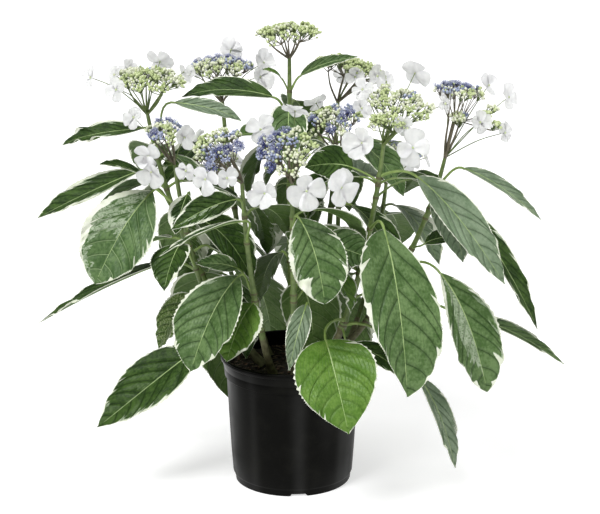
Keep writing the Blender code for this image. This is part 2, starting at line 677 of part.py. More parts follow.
def is_closed(mesh):
    """Whether every edge of the mesh has two faces."""
    work = bmesh.new()
    work.from_mesh(mesh)
    closed = len(work.faces) > 0 and all(edge.is_manifold for edge in work.edges)
    work.free()
    return closed


def drop_scraps(mesh):
    """Delete all but the largest body of the mesh."""
    work = bmesh.new()
    work.from_mesh(mesh)
    seen, bodies = set(), []
    for start in work.verts:
        if start in seen:
            continue
        body, front = [], [start]
        seen.add(start)
        while front:
            vertex = front.pop()
            body.append(vertex)
            for edge in vertex.link_edges:
                other = edge.other_vert(vertex)
                if other not in seen:
                    seen.add(other)
                    front.append(other)
        bodies.append(body)
    bodies.sort(key=len)
    for body in bodies[:-1]:
        bmesh.ops.delete(work, geom=body, context="VERTS")
    work.to_mesh(mesh)
    work.free()
    return len(bodies) - 1


def fuse(name, solids, material):
    """Join the solids of one node into a single closed body with a Boolean union."""
    base = mesh_object(name, *solids[0], material)
    point_faces_out(base.data)
    if len(solids) == 1:
        return base
    group = bpy.data.collections.new(name + "_parts")
    bpy.context.scene.collection.children.link(group)
    for index, (vertices, faces) in enumerate(solids[1:]):
        piece = mesh_object(f"{name}_{index}", vertices, faces, material)
        point_faces_out(piece.data)
        bpy.context.scene.collection.objects.unlink(piece)
        group.objects.link(piece)
    union = base.modifiers.new("union", "BOOLEAN")
    union.operation = "UNION"
    union.operand_type = "COLLECTION"
    union.collection = group
    for solver in ("EXACT", "MANIFOLD"):
        union.solver = solver
        graph = bpy.context.evaluated_depsgraph_get()
        graph.update()
        joined = bpy.data.meshes.new_from_object(base.evaluated_get(graph))
        if is_closed(joined):
            break
    base.modifiers.clear()
    base.data = joined
    for piece in list(group.objects):
        bpy.data.objects.remove(piece, do_unlink=True)
    bpy.data.collections.remove(group)
    drop_scraps(base.data)
    return base


def spun(name, profile, segments, material):
    """A closed solid of revolution about +Z from a profile of (radius, height) points."""
    work = bmesh.new()
    chain = [work.verts.new((radius, 0.0, height)) for radius, height in profile]
    edges = [work.edges.new(pair) for pair in zip(chain, chain[1:])]
    bmesh.ops.spin(work, geom=chain + edges, axis=(0, 0, 1), cent=(0, 0, 0), steps=segments,
                   angle=2 * math.pi, use_duplicate=False)
    bmesh.ops.remove_doubles(work, verts=work.verts, dist=1e-6)
    bmesh.ops.recalc_face_normals(work, faces=work.faces)
    mesh = bpy.data.meshes.new(name)
    work.to_mesh(mesh)
    work.free()
    mesh.materials.append(material)
    thing = bpy.data.objects.new(name, mesh)
    bpy.context.scene.collection.objects.link(thing)
    return thing


def inner_wall():
    """Profile of the pot's inner wall, from its floor to its lip, as (radius, height)."""
    step = POT_HEIGHT - COLLAR_DEPTH
    return (
        (FOOT_RING_RADIUS - POT_WALL - 0.0012, POT_FLOOR),
        (FOOT_RING_RADIUS - POT_WALL, POT_FLOOR + 0.0012),
        (BODY_FOOT_RADIUS - POT_WALL, FOOT_RING_HEIGHT + 0.0010),
        (COLLAR_FOOT_RADIUS - COLLAR_STEP - POT_WALL, step),
        (COLLAR_FOOT_RADIUS - POT_WALL, step + 0.0016),
        (COLLAR_TOP_RADIUS - POT_WALL, POT_HEIGHT - 0.0006),
    )


def build_pot(material):
    """The pot: shell, lip, collar, foot ring, and drain arches cut through its foot."""
    step = POT_HEIGHT - COLLAR_DEPTH
    outer = (
        (0.0, 0.0),
        (FOOT_RING_RADIUS - 0.0015, 0.0),
        (FOOT_RING_RADIUS - 0.0003, 0.0012),
        (FOOT_RING_RADIUS, FOOT_RING_HEIGHT - 0.0020),
        (BODY_FOOT_RADIUS, FOOT_RING_HEIGHT),
        (COLLAR_FOOT_RADIUS - COLLAR_STEP, step - 0.0004),
        (COLLAR_FOOT_RADIUS, step + 0.0010),
        (COLLAR_TOP_RADIUS, POT_HEIGHT - LIP_DEPTH - 0.0008),
        (LIP_RADIUS - 0.0005, POT_HEIGHT - LIP_DEPTH),
        (LIP_RADIUS, POT_HEIGHT - LIP_DEPTH + 0.0010),
        (LIP_RADIUS, POT_HEIGHT - 0.0014),
        (LIP_RADIUS - 0.0012, POT_HEIGHT),
        (COLLAR_TOP_RADIUS - POT_WALL + 0.0008, POT_HEIGHT),
    )
    profile = outer + inner_wall()[::-1] + ((0.0, POT_FLOOR),)
    pot = spun("pot", profile, POT_SEGMENTS, material)
    half, top = ARCH_WIDTH / 2, ARCH_TOP_WIDTH / 2
    inside, outside = FOOT_RING_RADIUS - ARCH_RUN, FOOT_RING_RADIUS + ARCH_RUN
    section = ((-half, -0.002), (half, -0.002), (half, 0.0), (top, ARCH_HEIGHT),
               (-top, ARCH_HEIGHT), (-half, 0.0))
    vertices, faces = [], []
    for arch in range(ARCH_COUNT):
        out = heading(ARCH_TURN + 360 * arch / ARCH_COUNT)
        across = np.array((-out[1], out[0], 0.0))
        first = len(vertices)
        for radius in (inside, outside):
            vertices += [out * radius + across * width + (0, 0, height)
                         for width, height in section]
        count = len(section)
        faces += [tuple(first + i for i in range(count)),
                  tuple(first + count + i for i in reversed(range(count)))]
        faces += [(first + i, first + count + i, first + count + (i + 1) % count,
                   first + (i + 1) % count) for i in range(count)]
    cutter = mesh_object("arches", vertices, faces, material)
    point_faces_out(cutter.data)
    cutter.hide_render = True
    cutter.display_type = "WIRE"
    cut = pot.modifiers.new("drain arches", "BOOLEAN")
    cut.operation = "DIFFERENCE"
    cut.object = cutter
    graph = bpy.context.evaluated_depsgraph_get()
    graph.update()
    pot.data = bpy.data.meshes.new_from_object(pot.evaluated_get(graph))
    pot.modifiers.clear()
    bpy.data.objects.remove(cutter, do_unlink=True)
    pot.data.shade_smooth()
    pot.data.set_sharp_from_angle(angle=math.radians(35))
    return pot


def build_medium(material):
    """The plug of growing medium, clear of the pot all round, with a flat top."""
    wall = [(radius - MEDIUM_CLEARANCE, height) for radius, height in inner_wall()]
    wall[0] = (wall[0][0], POT_FLOOR + MEDIUM_CLEARANCE)
    radii, heights = zip(*wall)
    top_radius = float(np.interp(MEDIUM_TOP, heights, radii))
    profile = [(0.0, wall[0][1])] + [p for p in wall if p[1] < MEDIUM_TOP]
    profile += [(top_radius, MEDIUM_TOP), (0.0, MEDIUM_TOP)]
    return spun("growing_medium", profile, POT_SEGMENTS, material)


def main():
    """Build every solid of the plant and its pot."""
    for thing in list(bpy.data.objects):
        bpy.data.objects.remove(thing, do_unlink=True)
    plastic = finish("black plastic", (0.012, 0.012, 0.011), 0.42)
    peat = finish("peat and bark", (0.045, 0.028, 0.018), 0.95)
    wood = finish("green stem", (0.180, 0.240, 0.075), 0.60)
    leaf_green = finish("variegated leaf", (0.075, 0.165, 0.060), 0.50)
    blossom = finish("blossom", (0.620, 0.640, 0.620), 0.70)

    crown = grow((build_pot(plastic), build_medium(peat)))
    for node, solids in crown.solids.items():
        material = {"main": wood, "side": wood, "foli": leaf_green, "flow": blossom}[node[:4]]
        fuse(node, solids, material)
    return crown


if __name__ == "__main__":
    main()
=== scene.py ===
"""A variegated lacecap hydrangea in its nursery pot, dressed leaf by leaf and bud by bud.

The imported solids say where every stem, leaf and flower head stands.  Each shoot grows
here again along the same path and by the same rule.  Its leaves get teeth, veins and a
pale edge, its stem gets bark and nodes, and its flower head gets branching rays, beads
of buds, small open stars and large white four-sepalled florets.

Lengths are in metres and angles in degrees, with +Z up and the front towards -Y.
"""

import logging
import math
import random
from dataclasses import dataclass, field
from enum import Enum
from typing import Any, Dict, List, Optional, Sequence, Tuple, Union

import bpy
import numpy as np
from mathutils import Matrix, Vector
from mathutils.bvhtree import BVHTree


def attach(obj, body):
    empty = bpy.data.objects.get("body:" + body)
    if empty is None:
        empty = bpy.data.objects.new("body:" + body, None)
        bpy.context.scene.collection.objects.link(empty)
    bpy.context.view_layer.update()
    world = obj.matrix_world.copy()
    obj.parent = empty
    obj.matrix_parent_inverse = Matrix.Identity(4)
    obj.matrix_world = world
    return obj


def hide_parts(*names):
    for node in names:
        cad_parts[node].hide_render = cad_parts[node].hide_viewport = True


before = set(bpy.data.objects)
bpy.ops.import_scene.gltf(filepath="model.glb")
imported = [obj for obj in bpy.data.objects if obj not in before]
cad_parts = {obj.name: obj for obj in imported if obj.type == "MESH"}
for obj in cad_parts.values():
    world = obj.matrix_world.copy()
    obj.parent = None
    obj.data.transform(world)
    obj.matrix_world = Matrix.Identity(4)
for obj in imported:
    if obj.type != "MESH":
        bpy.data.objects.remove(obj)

Array = np.ndarray
Triple = Tuple[float, float, float]
Number = Union[float, "Socket"]

log = logging.getLogger("hydrangea")

SEED = 11
UP = np.array((0.0, 0.0, 1.0))

# How a shoot grows: shares of its path, and the rule for the leaves at its nodes.
STEM_END = 0.22             # main stem gives way to the leafy shoot
FORK = 0.13                 # a side bough leaves its bearer
SHOOT_END = 0.93            # leafy shoot gives way to the flower head
NODE_SHARES = (0.26, 0.38, 0.50, 0.62, 0.74, 0.85)
NODE_LENGTHS = (0.165, 0.170, 0.165, 0.155, 0.135, 0.110)
# A leaf's turn aside, in degrees, and share of its length, in the order they are tried.
TRIES = ((0, 1.0), (24, 0.9), (-24, 0.9), (0, 0.75), (38, 0.75), (-38, 0.75), (0, 0.58))
PETIOLE_REACH = 0.024
PETIOLE_RISE = 0.008
PETIOLE_RADIUS = 0.0019
BLADE_SWELL, BLADE_TAPER = 0.78, 0.98
BLADE_THICKNESS = 0.014     # of the blade's length, in the solids
BLADE_FOLD = 16.0
BLADE_CONTROLS = (0.30, 0.68)   # where the two middle controls stand over the chord
RULED_LIFT = (0.20, 0.12)   # their rise, in a leaf that is set by the rule
BOUGH_LEAVING = 0.018       # how far a side bough sets out square to its bearer
SOLID_STATIONS = (0.43, 0.78)
ON_SURFACE = 0.00006        # how near a leaf's own points lie to its mass's surface

# Flower heads, and how their large florets face.
HEAD_LEAN = 0.6             # how far a head follows its shoot's lean to one side
DOME_RISE = 0.24            # of the dome's radius
FLORET_LEAN = 58.0          # off the head's axis
FLORET_SAG = 400            # degrees more for each metre that a floret hangs lower
FLORET_LOOK = 0.8           # how far the front ones turn to -Y
FLORET_BEHIND = 0.65        # Y of a floret's direction, past which it is behind its head
FLORET_UPRIGHT = 20.0       # degrees more for a floret behind its head
FRONT_HEADS = 0.12          # Y of the dome, up to which a head counts as a front one
HEAD_DRAWS = 65             # chances that a head takes before its florets
TALL_HEAD = 0.06            # from hub to dome, past which a head has few, strong rays
GOLDEN_TURN = 137.508       # between neighbours in a sunflower's spiral

VEIN_SCALE = 10.0           # a leaf's map holds its count of side veins over this


# ------------ shader expressions


class Socket:
    """A value that runs through a material's nodes, and the arithmetic on it."""

    def __init__(self, shader: "Shader", output: bpy.types.NodeSocket) -> None:
        """Wrap an output socket of the shader's tree."""
        self.shader = shader
        self.output = output

    def _math(self, operation: str, *values: Number) -> "Socket":
        """A Math node on these values, in this order."""
        return self.shader.node("ShaderNodeMath", {"operation": operation},
                                dict(enumerate(values)))

    def __add__(self, other: Number) -> "Socket":
        """This value plus another."""
        return self._math("ADD", self, other)

    def __sub__(self, other: Number) -> "Socket":
        """This value less another."""
        return self._math("SUBTRACT", self, other)

    def __mul__(self, other: Number) -> "Socket":
        """This value times another."""
        return self._math("MULTIPLY", self, other)

    __radd__ = __add__

    def fraction(self) -> "Socket":
        """What is left of this value past its last whole number."""
        return self._math("FRACT", self)

    def size(self) -> "Socket":
        """This value without its sign."""
        return self._math("ABSOLUTE", self)

    def floor(self) -> "Socket":
        """The last whole number up to this value."""
        return self._math("FLOOR", self)

    def ramp(self, low: float, high: float) -> "Socket":
        """A smooth step that is 0 at low and 1 at high."""
        return self.shader.node("ShaderNodeMapRange", {"interpolation_type": "SMOOTHSTEP"},
                                {"Value": self, "From Min": low, "From Max": high})


class Shader:
    """One material whose nodes are written as expressions."""

    def __init__(self, name: str, **constants: Any) -> None:
        """Start a Principled material.

        Args:
            name: The material's name.
            constants: Shader sockets by name, with _ for a space, and their values.
        """
        self.material = bpy.data.materials.new(name)
        self.material.use_nodes = True
        self.tree = self.material.node_tree
        self.surface = self.tree.nodes["Principled BSDF"]
        self.set(**constants)

    def set(self, **values: Any) -> None:
        """Set or link the surface's sockets, which are named with _ for a space."""
        for name, value in values.items():
            self._feed(self.surface.inputs[name.replace("_", " ")], value)

    def _feed(self, socket: bpy.types.NodeSocket, value: Any) -> None:
        """Link a Socket to an input, or write a plain value into it.

        Args:
            socket: The input.
            value: A Socket, a number, or a colour as three numbers.
        """
        if isinstance(value, Socket):
            self.tree.links.new(value.output, socket)
        elif isinstance(value, (tuple, list)) and socket.type == "RGBA":
            socket.default_value = (*value, 1.0)[:4]
        else:
            socket.default_value = value

    def node(self, kind: str, settings: Optional[Dict[str, Any]] = None,
             values: Optional[Dict[Any, Any]] = None, output: Union[int, str] = 0) -> Socket:
        """Add a node.

        Args:
            kind: The node's type.
            settings: Attributes that are set first, such as a Math node's operation.
            values: Input sockets by name or number, and what goes into each.
            output: Name or number of the output that is wanted.

        Returns:
            The wanted output.
        """
        node = self.tree.nodes.new(kind)
        for name, value in (settings or {}).items():
            setattr(node, name, value)
        for name, value in (values or {}).items():
            self._feed(node.inputs[name], value)
        return Socket(self, node.outputs[output])

    def here(self) -> Socket:
        """The point's own place on the object."""
        return self.node("ShaderNodeTexCoord", output="Object")

    def noise(self, scale: float, detail: float = 2.0, rough: float = 0.5) -> Socket:
        """Cloudy noise with this many lumps in a metre."""
        return self.node("ShaderNodeTexNoise", values={
            "Vector": self.here(), "Scale": scale, "Detail": detail, "Roughness": rough})

    def mix(self, factor: Number, low: Any, high: Any) -> Socket:
        """A colour between low, at factor 0, and high, at factor 1."""
        return self.node("ShaderNodeMix", {"data_type": "RGBA"},
                         {0: factor, 6: low, 7: high}, output=2)

    def bump(self, height: Socket, strength: float, distance: float) -> Socket:
        """A normal that is tilted by a height in units of the distance."""
        return self.node("ShaderNodeBump", values={
            "Height": height, "Strength": strength, "Distance": distance})


# ------------ finishes


@dataclass(frozen=True)
class Blotched:
    """A matt or satin finish whose colour drifts between two tones, with a fine grain."""

    name: str
    dark: Triple
    light: Triple
    roughness: float
    blotch: float = 60.0        # lumps in a metre
    grain: float = 900.0
    relief: float = 0.0003
    strength: float = 0.35
    coat: float = 0.0
    glow: float = 0.0           # light that a thin petal lets through

    def material(self) -> bpy.types.Material:
        """The finish as a material: two tones mixed by cloudy noise, over a fine bump.

        Returns:
            The material.
        """
        shader = Shader(self.name, Roughness=self.roughness, Coat_Weight=self.coat,
                        Coat_Roughness=0.25)
        clouds = shader.noise(self.blotch, 3.0).ramp(0.32, 0.68)
        shader.set(Base_Color=shader.mix(clouds, self.dark, self.light),
                   Normal=shader.bump(shader.noise(self.grain, 2.0), self.strength,
                                      self.relief))
        if self.glow:
            shader.set(Subsurface_Weight=self.glow, Subsurface_Radius=(0.004, 0.004, 0.004),
                       Subsurface_Scale=1.0)
        return shader.material


@dataclass(frozen=True)
class LeafSkin:
    """A leaf's skin: two close tones, side veins and the finer ladder of veins between."""

    name: str
    dark: Triple
    light: Triple
    # colour of the side-vein line: where it is darker than the body it is a painted shadow of the
    # sunken vein, and on leaf_lit and the undersides it is paler than the body
    vein_and_shadow: Triple
    # painted shade: the colour that darkens the shoulders beside each side vein and the cross
    # veins
    painted_groove_shade: Triple
    roughness: float = 0.44
    # how strongly the vein line, with its painted shadow, is mixed in
    vein_and_shadow_strength: float = 0.72
    # how strongly the painted shade beside the veins is mixed in
    painted_shade_strength: float = 0.80
    ladder: float = 11.0        # cross veins in each half of the blade
    relief: float = 0.0014
    sheen: float = 0.26
    speckle: float = 0.0        # share of a second tone in small spots
    spot: Triple = (0.30, 0.38, 0.16)

    def material(self) -> bpy.types.Material:
        """The skin as a material.

        The map's first number is 0.5 on the midrib and 0 and 1 on the two edges.  Its
        second, times VEIN_SCALE, counts the side veins.  A side vein is a fine line where
        that count is whole, between soft shoulders.  On the upper skins other than leaf_lit
        the line is a painted shadow of the sunken vein, and on every skin the shoulders and
        the cross veins are darkened as painted shade.  Cross veins lie at even steps from
        the midrib, and those of one field between two side veins don't meet those of the
        next.

        Returns:
            The material.
        """
        shader = Shader(self.name, Roughness=self.roughness, Specular_IOR_Level=self.sheen)
        blade = shader.node("ShaderNodeUVMap", {"uv_map": "blade"})
        aside = shader.node("ShaderNodeSeparateXYZ", values={"Vector": blade}, output="X")
        count = shader.node("ShaderNodeSeparateXYZ", values={"Vector": blade},
                            output="Y") * VEIN_SCALE
        away = (count.fraction() - 0.5).size()
        vein_and_shadow, shoulder = away.ramp(0.458, 0.486), away.ramp(0.30, 0.48)
        steps = (aside - 0.5).size() * (2.0 * self.ladder) + count.floor() * 0.37 \
            + shader.noise(70.0, 2.0) * 1.3
        rung = (steps.fraction() - 0.5).size().ramp(0.36, 0.5)
        clouds = shader.noise(45.0, 3.0) * 0.55 + shader.noise(260.0, 2.0) * 0.45
        tone = shader.mix(clouds.ramp(0.38, 0.62), self.dark, self.light)
        if self.speckle:
            level = 0.62 - 0.2 * self.speckle
            spots = shader.noise(420.0, 2.0, 0.6).ramp(level, level + 0.04)
            tone = shader.mix(spots, tone, self.spot)
        # painted shade: the shoulders beside each side vein and the cross veins are darkened
        # towards the groove colour
        painted_shade_mask = shoulder * 0.40 + rung * 0.14
        tone = shader.mix(painted_shade_mask * self.painted_shade_strength, tone, self.painted_groove_shade)
        # the vein line: a painted shadow of the sunken vein wherever its colour is darker than
        # the body
        shader.set(Base_Color=shader.mix(vein_and_shadow * self.vein_and_shadow_strength, tone, self.vein_and_shadow))
        height = shader.noise(230.0, 2.0) - rung * 0.35 - shoulder * 0.7 - vein_and_shadow * 0.8
        shader.set(Normal=shader.bump(height, 0.75, self.relief))
        return shader.material


@dataclass(frozen=True)
class Moulded:
    """Black moulded plastic: satin, faintly streaked, with a very fine grain."""

    name: str = "black_plastic"
    dark: Triple = (0.0022, 0.0022, 0.0017)
    light: Triple = (0.0060, 0.0060, 0.0048)

    def material(self) -> bpy.types.Material:
        """The plastic as a material: dusty patches, and upright streaks with more gloss.

        Returns:
            The material.
        """
        shader = Shader(self.name, Specular_IOR_Level=0.05, Coat_Roughness=0.28)
        upright = shader.node("ShaderNodeMapping",
                              values={"Vector": shader.here(), "Scale": (1.0, 1.0, 0.04)})
        gloss = shader.node("ShaderNodeTexNoise", values={
            "Vector": upright, "Scale": 25.0, "Detail": 1.0}).ramp(0.42, 0.80)
        dust = shader.noise(26.0, 5.0, 0.62).ramp(0.42, 0.75)
        fine = shader.noise(700.0, 2.0)
        shader.set(Base_Color=shader.mix(dust, self.dark, self.light),
                   Roughness=0.36 + dust * 0.14, Coat_Weight=gloss * 0.36,
                   Normal=shader.bump(fine + shader.noise(90.0, 2.0) * 1.5, 0.10, 0.0003))
        return shader.material


class Tone(Enum):
    """The greens that a leaf's body can have, by their numbers in LEAF_SKINS."""

    DARK = 0
    MID = 1
    BRIGHT = 2
    GREY = 3
    MOTTLED = 4
    LIT = 10


# In each LeafSkin the third colour is the vein line, a painted shadow of the sunken vein on the
# upper skins other than leaf_lit, and the fourth is painted shade beside the veins.
LEAF_SKINS = (
    LeafSkin("leaf_dark", (0.018, 0.044, 0.006), (0.054, 0.106, 0.020),
             (0.010, 0.026, 0.004), (0.012, 0.032, 0.005), sheen=0.18),
    LeafSkin("leaf_mid", (0.050, 0.104, 0.024), (0.120, 0.196, 0.070),
             (0.018, 0.046, 0.008), (0.020, 0.052, 0.009)),
    LeafSkin("leaf_bright", (0.072, 0.162, 0.017), (0.126, 0.234, 0.038),
             (0.034, 0.094, 0.008), (0.040, 0.110, 0.010), vein_and_shadow_strength=0.14,
             painted_shade_strength=0.34),
    LeafSkin("leaf_grey", (0.125, 0.190, 0.102), (0.205, 0.275, 0.172),
             (0.052, 0.092, 0.040), (0.062, 0.108, 0.050), sheen=0.45),
    LeafSkin("leaf_mottled", (0.062, 0.130, 0.018), (0.110, 0.190, 0.038),
             (0.024, 0.062, 0.008), (0.040, 0.092, 0.012), speckle=0.5),
    LeafSkin("leaf_pale", (0.230, 0.300, 0.185), (0.370, 0.440, 0.310),
             (0.130, 0.185, 0.095), (0.175, 0.240, 0.135), speckle=0.35,
             spot=(0.120, 0.190, 0.080), vein_and_shadow_strength=0.40),
    Blotched("leaf_cream", (0.560, 0.600, 0.460), (0.780, 0.800, 0.690), 0.50),
    LeafSkin("leaf_under", (0.066, 0.128, 0.024), (0.104, 0.176, 0.046),
             (0.200, 0.290, 0.110), (0.044, 0.092, 0.018), 0.62),
    LeafSkin("leaf_under_pale", (0.260, 0.330, 0.190), (0.390, 0.450, 0.300),
             (0.450, 0.500, 0.360), (0.190, 0.250, 0.140), 0.62),
    Blotched("leaf_under_cream", (0.620, 0.660, 0.520), (0.760, 0.780, 0.660), 0.60),
    LeafSkin("leaf_lit", (0.046, 0.098, 0.026), (0.112, 0.188, 0.066),
             (0.250, 0.345, 0.165), (0.028, 0.066, 0.015), vein_and_shadow_strength=0.85,
             painted_shade_strength=0.50),
)
PALE, CREAM, UNDER, UNDER_PALE, UNDER_CREAM = 5, 6, 7, 8, 9

TWIG_SKINS = (
    Blotched("stem_woody", (0.085, 0.080, 0.034), (0.165, 0.165, 0.078), 0.62, 150.0, 500.0,
             0.0006, 0.6),
    Blotched("stem_green", (0.085, 0.135, 0.030), (0.150, 0.210, 0.060), 0.48, 120.0, 700.0),
    Blotched("stem_node", (0.070, 0.072, 0.028), (0.130, 0.120, 0.055), 0.70, 300.0),
    Blotched("petiole", (0.150, 0.235, 0.050), (0.235, 0.330, 0.090), 0.45, 90.0, 800.0),
    Blotched("midrib", (0.260, 0.370, 0.130), (0.360, 0.470, 0.200), 0.48, 90.0, 800.0),
    Blotched("ray_green", (0.075, 0.120, 0.026), (0.150, 0.205, 0.058), 0.55, 140.0),
    Blotched("ray_brown", (0.085, 0.076, 0.045), (0.165, 0.140, 0.095), 0.60, 140.0),
)
WOODY, GREEN, NODE, PETIOLE, MIDRIB, RAY_GREEN, RAY_BROWN = range(7)

BUD_SKINS = (
    Blotched("bud_lime", (0.320, 0.405, 0.155), (0.590, 0.660, 0.360), 0.40, 240.0, coat=0.2),
    Blotched("bud_cream", (0.560, 0.600, 0.420), (0.780, 0.800, 0.640), 0.40, 240.0, coat=0.2),
    Blotched("bud_blue", (0.170, 0.200, 0.330), (0.420, 0.470, 0.600), 0.42, 240.0, coat=0.2),
    Blotched("star_petal", (0.014, 0.018, 0.100), (0.070, 0.086, 0.300), 0.50, 260.0),
    Blotched("star_stamen", (0.230, 0.260, 0.500), (0.680, 0.710, 0.830), 0.55, 200.0),
    Blotched("star_pale", (0.360, 0.400, 0.600), (0.680, 0.720, 0.820), 0.50, 300.0),
)
LIME, CREAM_BUD, BLUE_BUD, STAR, STAMEN, PALE_STAR = range(6)

FLORET_SKINS = (
    Blotched("sepal", (0.770, 0.776, 0.796), (0.905, 0.910, 0.910), 0.55, 90.0, 700.0,
             0.0003, 0.3, glow=0.90),
    Blotched("floret_eye", (0.420, 0.520, 0.250), (0.600, 0.640, 0.420), 0.50, 300.0),
)

POT_SKINS = (Moulded(),)
MEDIUM_SKINS = (
    Blotched("peat", (0.010, 0.0075, 0.0050), (0.032, 0.024, 0.015), 0.95, 180.0, 700.0,
             0.0012, 0.9),
    Blotched("bark_chip", (0.045, 0.026, 0.014), (0.120, 0.070, 0.040), 0.85, 220.0, 500.0,
             0.0006, 0.7),
    Blotched("fibre", (0.105, 0.080, 0.050), (0.200, 0.155, 0.100), 0.85, 220.0),
)


# ------------ surfaces


def unit(vectors: Array) -> Array:
    """Vectors at length 1, along their last axis."""
    return vectors / np.maximum(np.linalg.norm(vectors, axis=-1, keepdims=True), 1e-12)


def heading(degrees: float) -> Array:
    """The level direction that lies so many degrees round from +X."""
    return np.array((math.cos(math.radians(degrees)), math.sin(math.radians(degrees)), 0.0))


def curve(controls: Sequence, shares: Any) -> Array:
    """Points of a cubic curve: four control points weighted by the cubic Bernstein terms.

    Args:
        controls: The four control points.
        shares: Where along the curve, from 0 to 1.

    Returns:
        One point for each share.
    """
    a, b, c, d = (np.asarray(p, dtype=float) for p in controls)
    t = np.asarray(shares, dtype=float)[..., None]
    return (1 - t) ** 3 * a + 3 * (1 - t) ** 2 * t * b + 3 * (1 - t) * t ** 2 * c + t ** 3 * d


def slope(controls: Sequence, shares: Any) -> Array:
    """Unit directions of a cubic curve: its derivative, at length 1.

    Args:
        controls: The four control points.
        shares: Where along the curve, from 0 to 1.

    Returns:
        One direction for each share.
    """
    a, b, c, d = (np.asarray(p, dtype=float) for p in controls)
    t = np.asarray(shares, dtype=float)[..., None]
    return unit((1 - t) ** 2 * (b - a) + 2 * (1 - t) * t * (c - b) + t ** 2 * (d - c))


def grid_faces(rows: int, columns: int, wrap: bool = False) -> Array:
    """Quads of a grid of points that are numbered row by row.

    Args:
        rows: Points one way.
        columns: Points the other way.
        wrap: Whether the last column joins the first.

    Returns:
        One row of four point numbers for each quad.
    """
    row, column = np.meshgrid(np.arange(rows - 1), np.arange(columns - (not wrap)),
                              indexing="ij")
    after = (column + 1) % columns
    corners = (row * columns + column, row * columns + after,
               (row + 1) * columns + after, (row + 1) * columns + column)
    return np.stack(corners, -1).reshape(-1, 4)


def cap_faces(sides: int) -> Array:
    """Faces that close a ring of points, as quads and, for an odd count, one triangle."""
    faces = [(0, i, i + 1, i + 2 if i + 2 < sides else -1) for i in range(1, sides - 1, 2)]
    return np.array(faces, dtype=int)


def tubes(points: Array, radii: Array, sides: int, reference: Triple = (0.31, -0.93, 0.19)
          ) -> Tuple[Array, Array]:
    """Closed round tubes: a circle carried along each path, square to it.

    Args:
        points: Paths as an array of (tube, station, 3).
        radii: Radius at each station, as (tube, station) or anything that fits it.
        sides: Points round each circle.
        reference: A direction that no path follows, which sets where a circle starts.

    Returns:
        Points, and faces with -1 as the fourth corner of a triangle.
    """
    points = np.asarray(points, dtype=float)
    count, stations = points.shape[:2]
    along = unit(np.gradient(points, axis=1))
    across = unit(np.cross(along, np.array(reference)))
    over = np.cross(along, across)
    turn = np.arange(sides) * 2 * math.pi / sides
    ring = (across[:, :, None] * np.cos(turn)[:, None] + over[:, :, None] * np.sin(turn)[:, None])
    radii = np.broadcast_to(radii, (count, stations))[:, :, None, None]
    vertices = (points[:, :, None] + ring * radii).reshape(-1, 3)
    wall = grid_faces(stations, sides, wrap=True)
    cap = cap_faces(sides)
    flipped = np.where(cap[:, 3:] < 0, cap[:, (2, 1, 0, 3)], cap[:, ::-1])
    far = np.where(cap < 0, -1, cap + (stations - 1) * sides)
    each = np.vstack((wall, flipped, far))
    step = (np.arange(count) * stations * sides)[:, None, None]
    return vertices, np.where(each < 0, -1, each + step).reshape(-1, 4)


def scatter(shape: Array, faces: Array, places: Array, frames: Array, sizes: Array
            ) -> Tuple[Array, Array]:
    """Copies of one small shape.

    Args:
        shape: The shape's points, with its own +Z as its axis.
        faces: The shape's faces.
        places: Where each copy stands.
        frames: The three axes of each copy, as (copy, axis, 3).
        sizes: Scale of each copy.

    Returns:
        All points and faces.
    """
    turned = np.einsum("vk,nkc->nvc", shape, frames) * np.asarray(sizes)[:, None, None]
    step = (np.arange(len(places)) * len(shape))[:, None, None]
    return ((turned + places[:, None]).reshape(-1, 3),
            np.where(faces < 0, -1, faces + step).reshape(-1, 4))


def frames_along(axes: Array, turns: Array) -> Array:
    """For each axis, three square vectors with the axis last, turned about it.

    Args:
        axes: Unit vectors.
        turns: Angle of each, in radians.

    Returns:
        An array of (vector, axis, 3).
    """
    helper = np.where(np.abs(axes[:, 2:]) < 0.9, (0.0, 0.0, 1.0), (1.0, 0.0, 0.0))
    first = unit(np.cross(helper, axes))
    second = np.cross(axes, first)
    c, s = np.cos(turns)[:, None], np.sin(turns)[:, None]
    return np.stack((first * c + second * s, second * c - first * s, axes), axis=1)


def bead(sides: int = 6, rings: int = 3, stretch: float = 1.0) -> Tuple[Array, Array]:
    """A small round bead: circles of sin(angle) radius at cos(angle) height, with poles.

    Args:
        sides: Points round each circle.
        rings: Circles between the poles.
        stretch: Height over width.

    Returns:
        Points of a bead of radius 1, and its faces.
    """
    polar = np.linspace(0, math.pi, rings + 2)[1:-1]
    turn = np.arange(sides) * 2 * math.pi / sides
    rows = np.stack((np.outer(np.sin(polar), np.cos(turn)), np.outer(np.sin(polar), np.sin(turn)),
                     np.repeat(np.cos(polar)[:, None], sides, 1) * stretch), -1).reshape(-1, 3)
    vertices = np.vstack((rows, (0, 0, stretch), (0, 0, -stretch)))
    wall = grid_faces(rings, sides, wrap=True)[:, ::-1]
    start, after = np.arange(sides), (np.arange(sides) + 1) % sides
    top = np.stack((start, after, np.full(sides, rings * sides), np.full(sides, -1)), -1)
    low = (rings - 1) * sides
    foot = np.stack((low + after, low + start, np.full(sides, rings * sides + 1),
                     np.full(sides, -1)), -1)
    return vertices, np.vstack((wall, top, foot))


def shell(top: Array, bottom: Array) -> Tuple[Array, Array]:
    """A thin closed skin between two grids that share their border points.

    Args:
        top: Upper grid, (rows, columns, 3).
        bottom: Lower grid of the same shape.

    Returns:
        Points, and faces: first all of the top's, then all of the bottom's.
    """
    rows, columns = top.shape[:2]
    number = np.arange(rows * columns).reshape(rows, columns)
    under = number.copy()
    inner = (rows - 2) * (columns - 2)
    under[1:-1, 1:-1] = rows * columns + np.arange(inner).reshape(rows - 2, columns - 2)
    vertices = np.vstack((top.reshape(-1, 3), bottom[1:-1, 1:-1].reshape(-1, 3)))
    faces = grid_faces(rows, columns)[:, ::-1]
    return vertices, np.vstack((faces, under.reshape(-1)[faces][:, ::-1]))


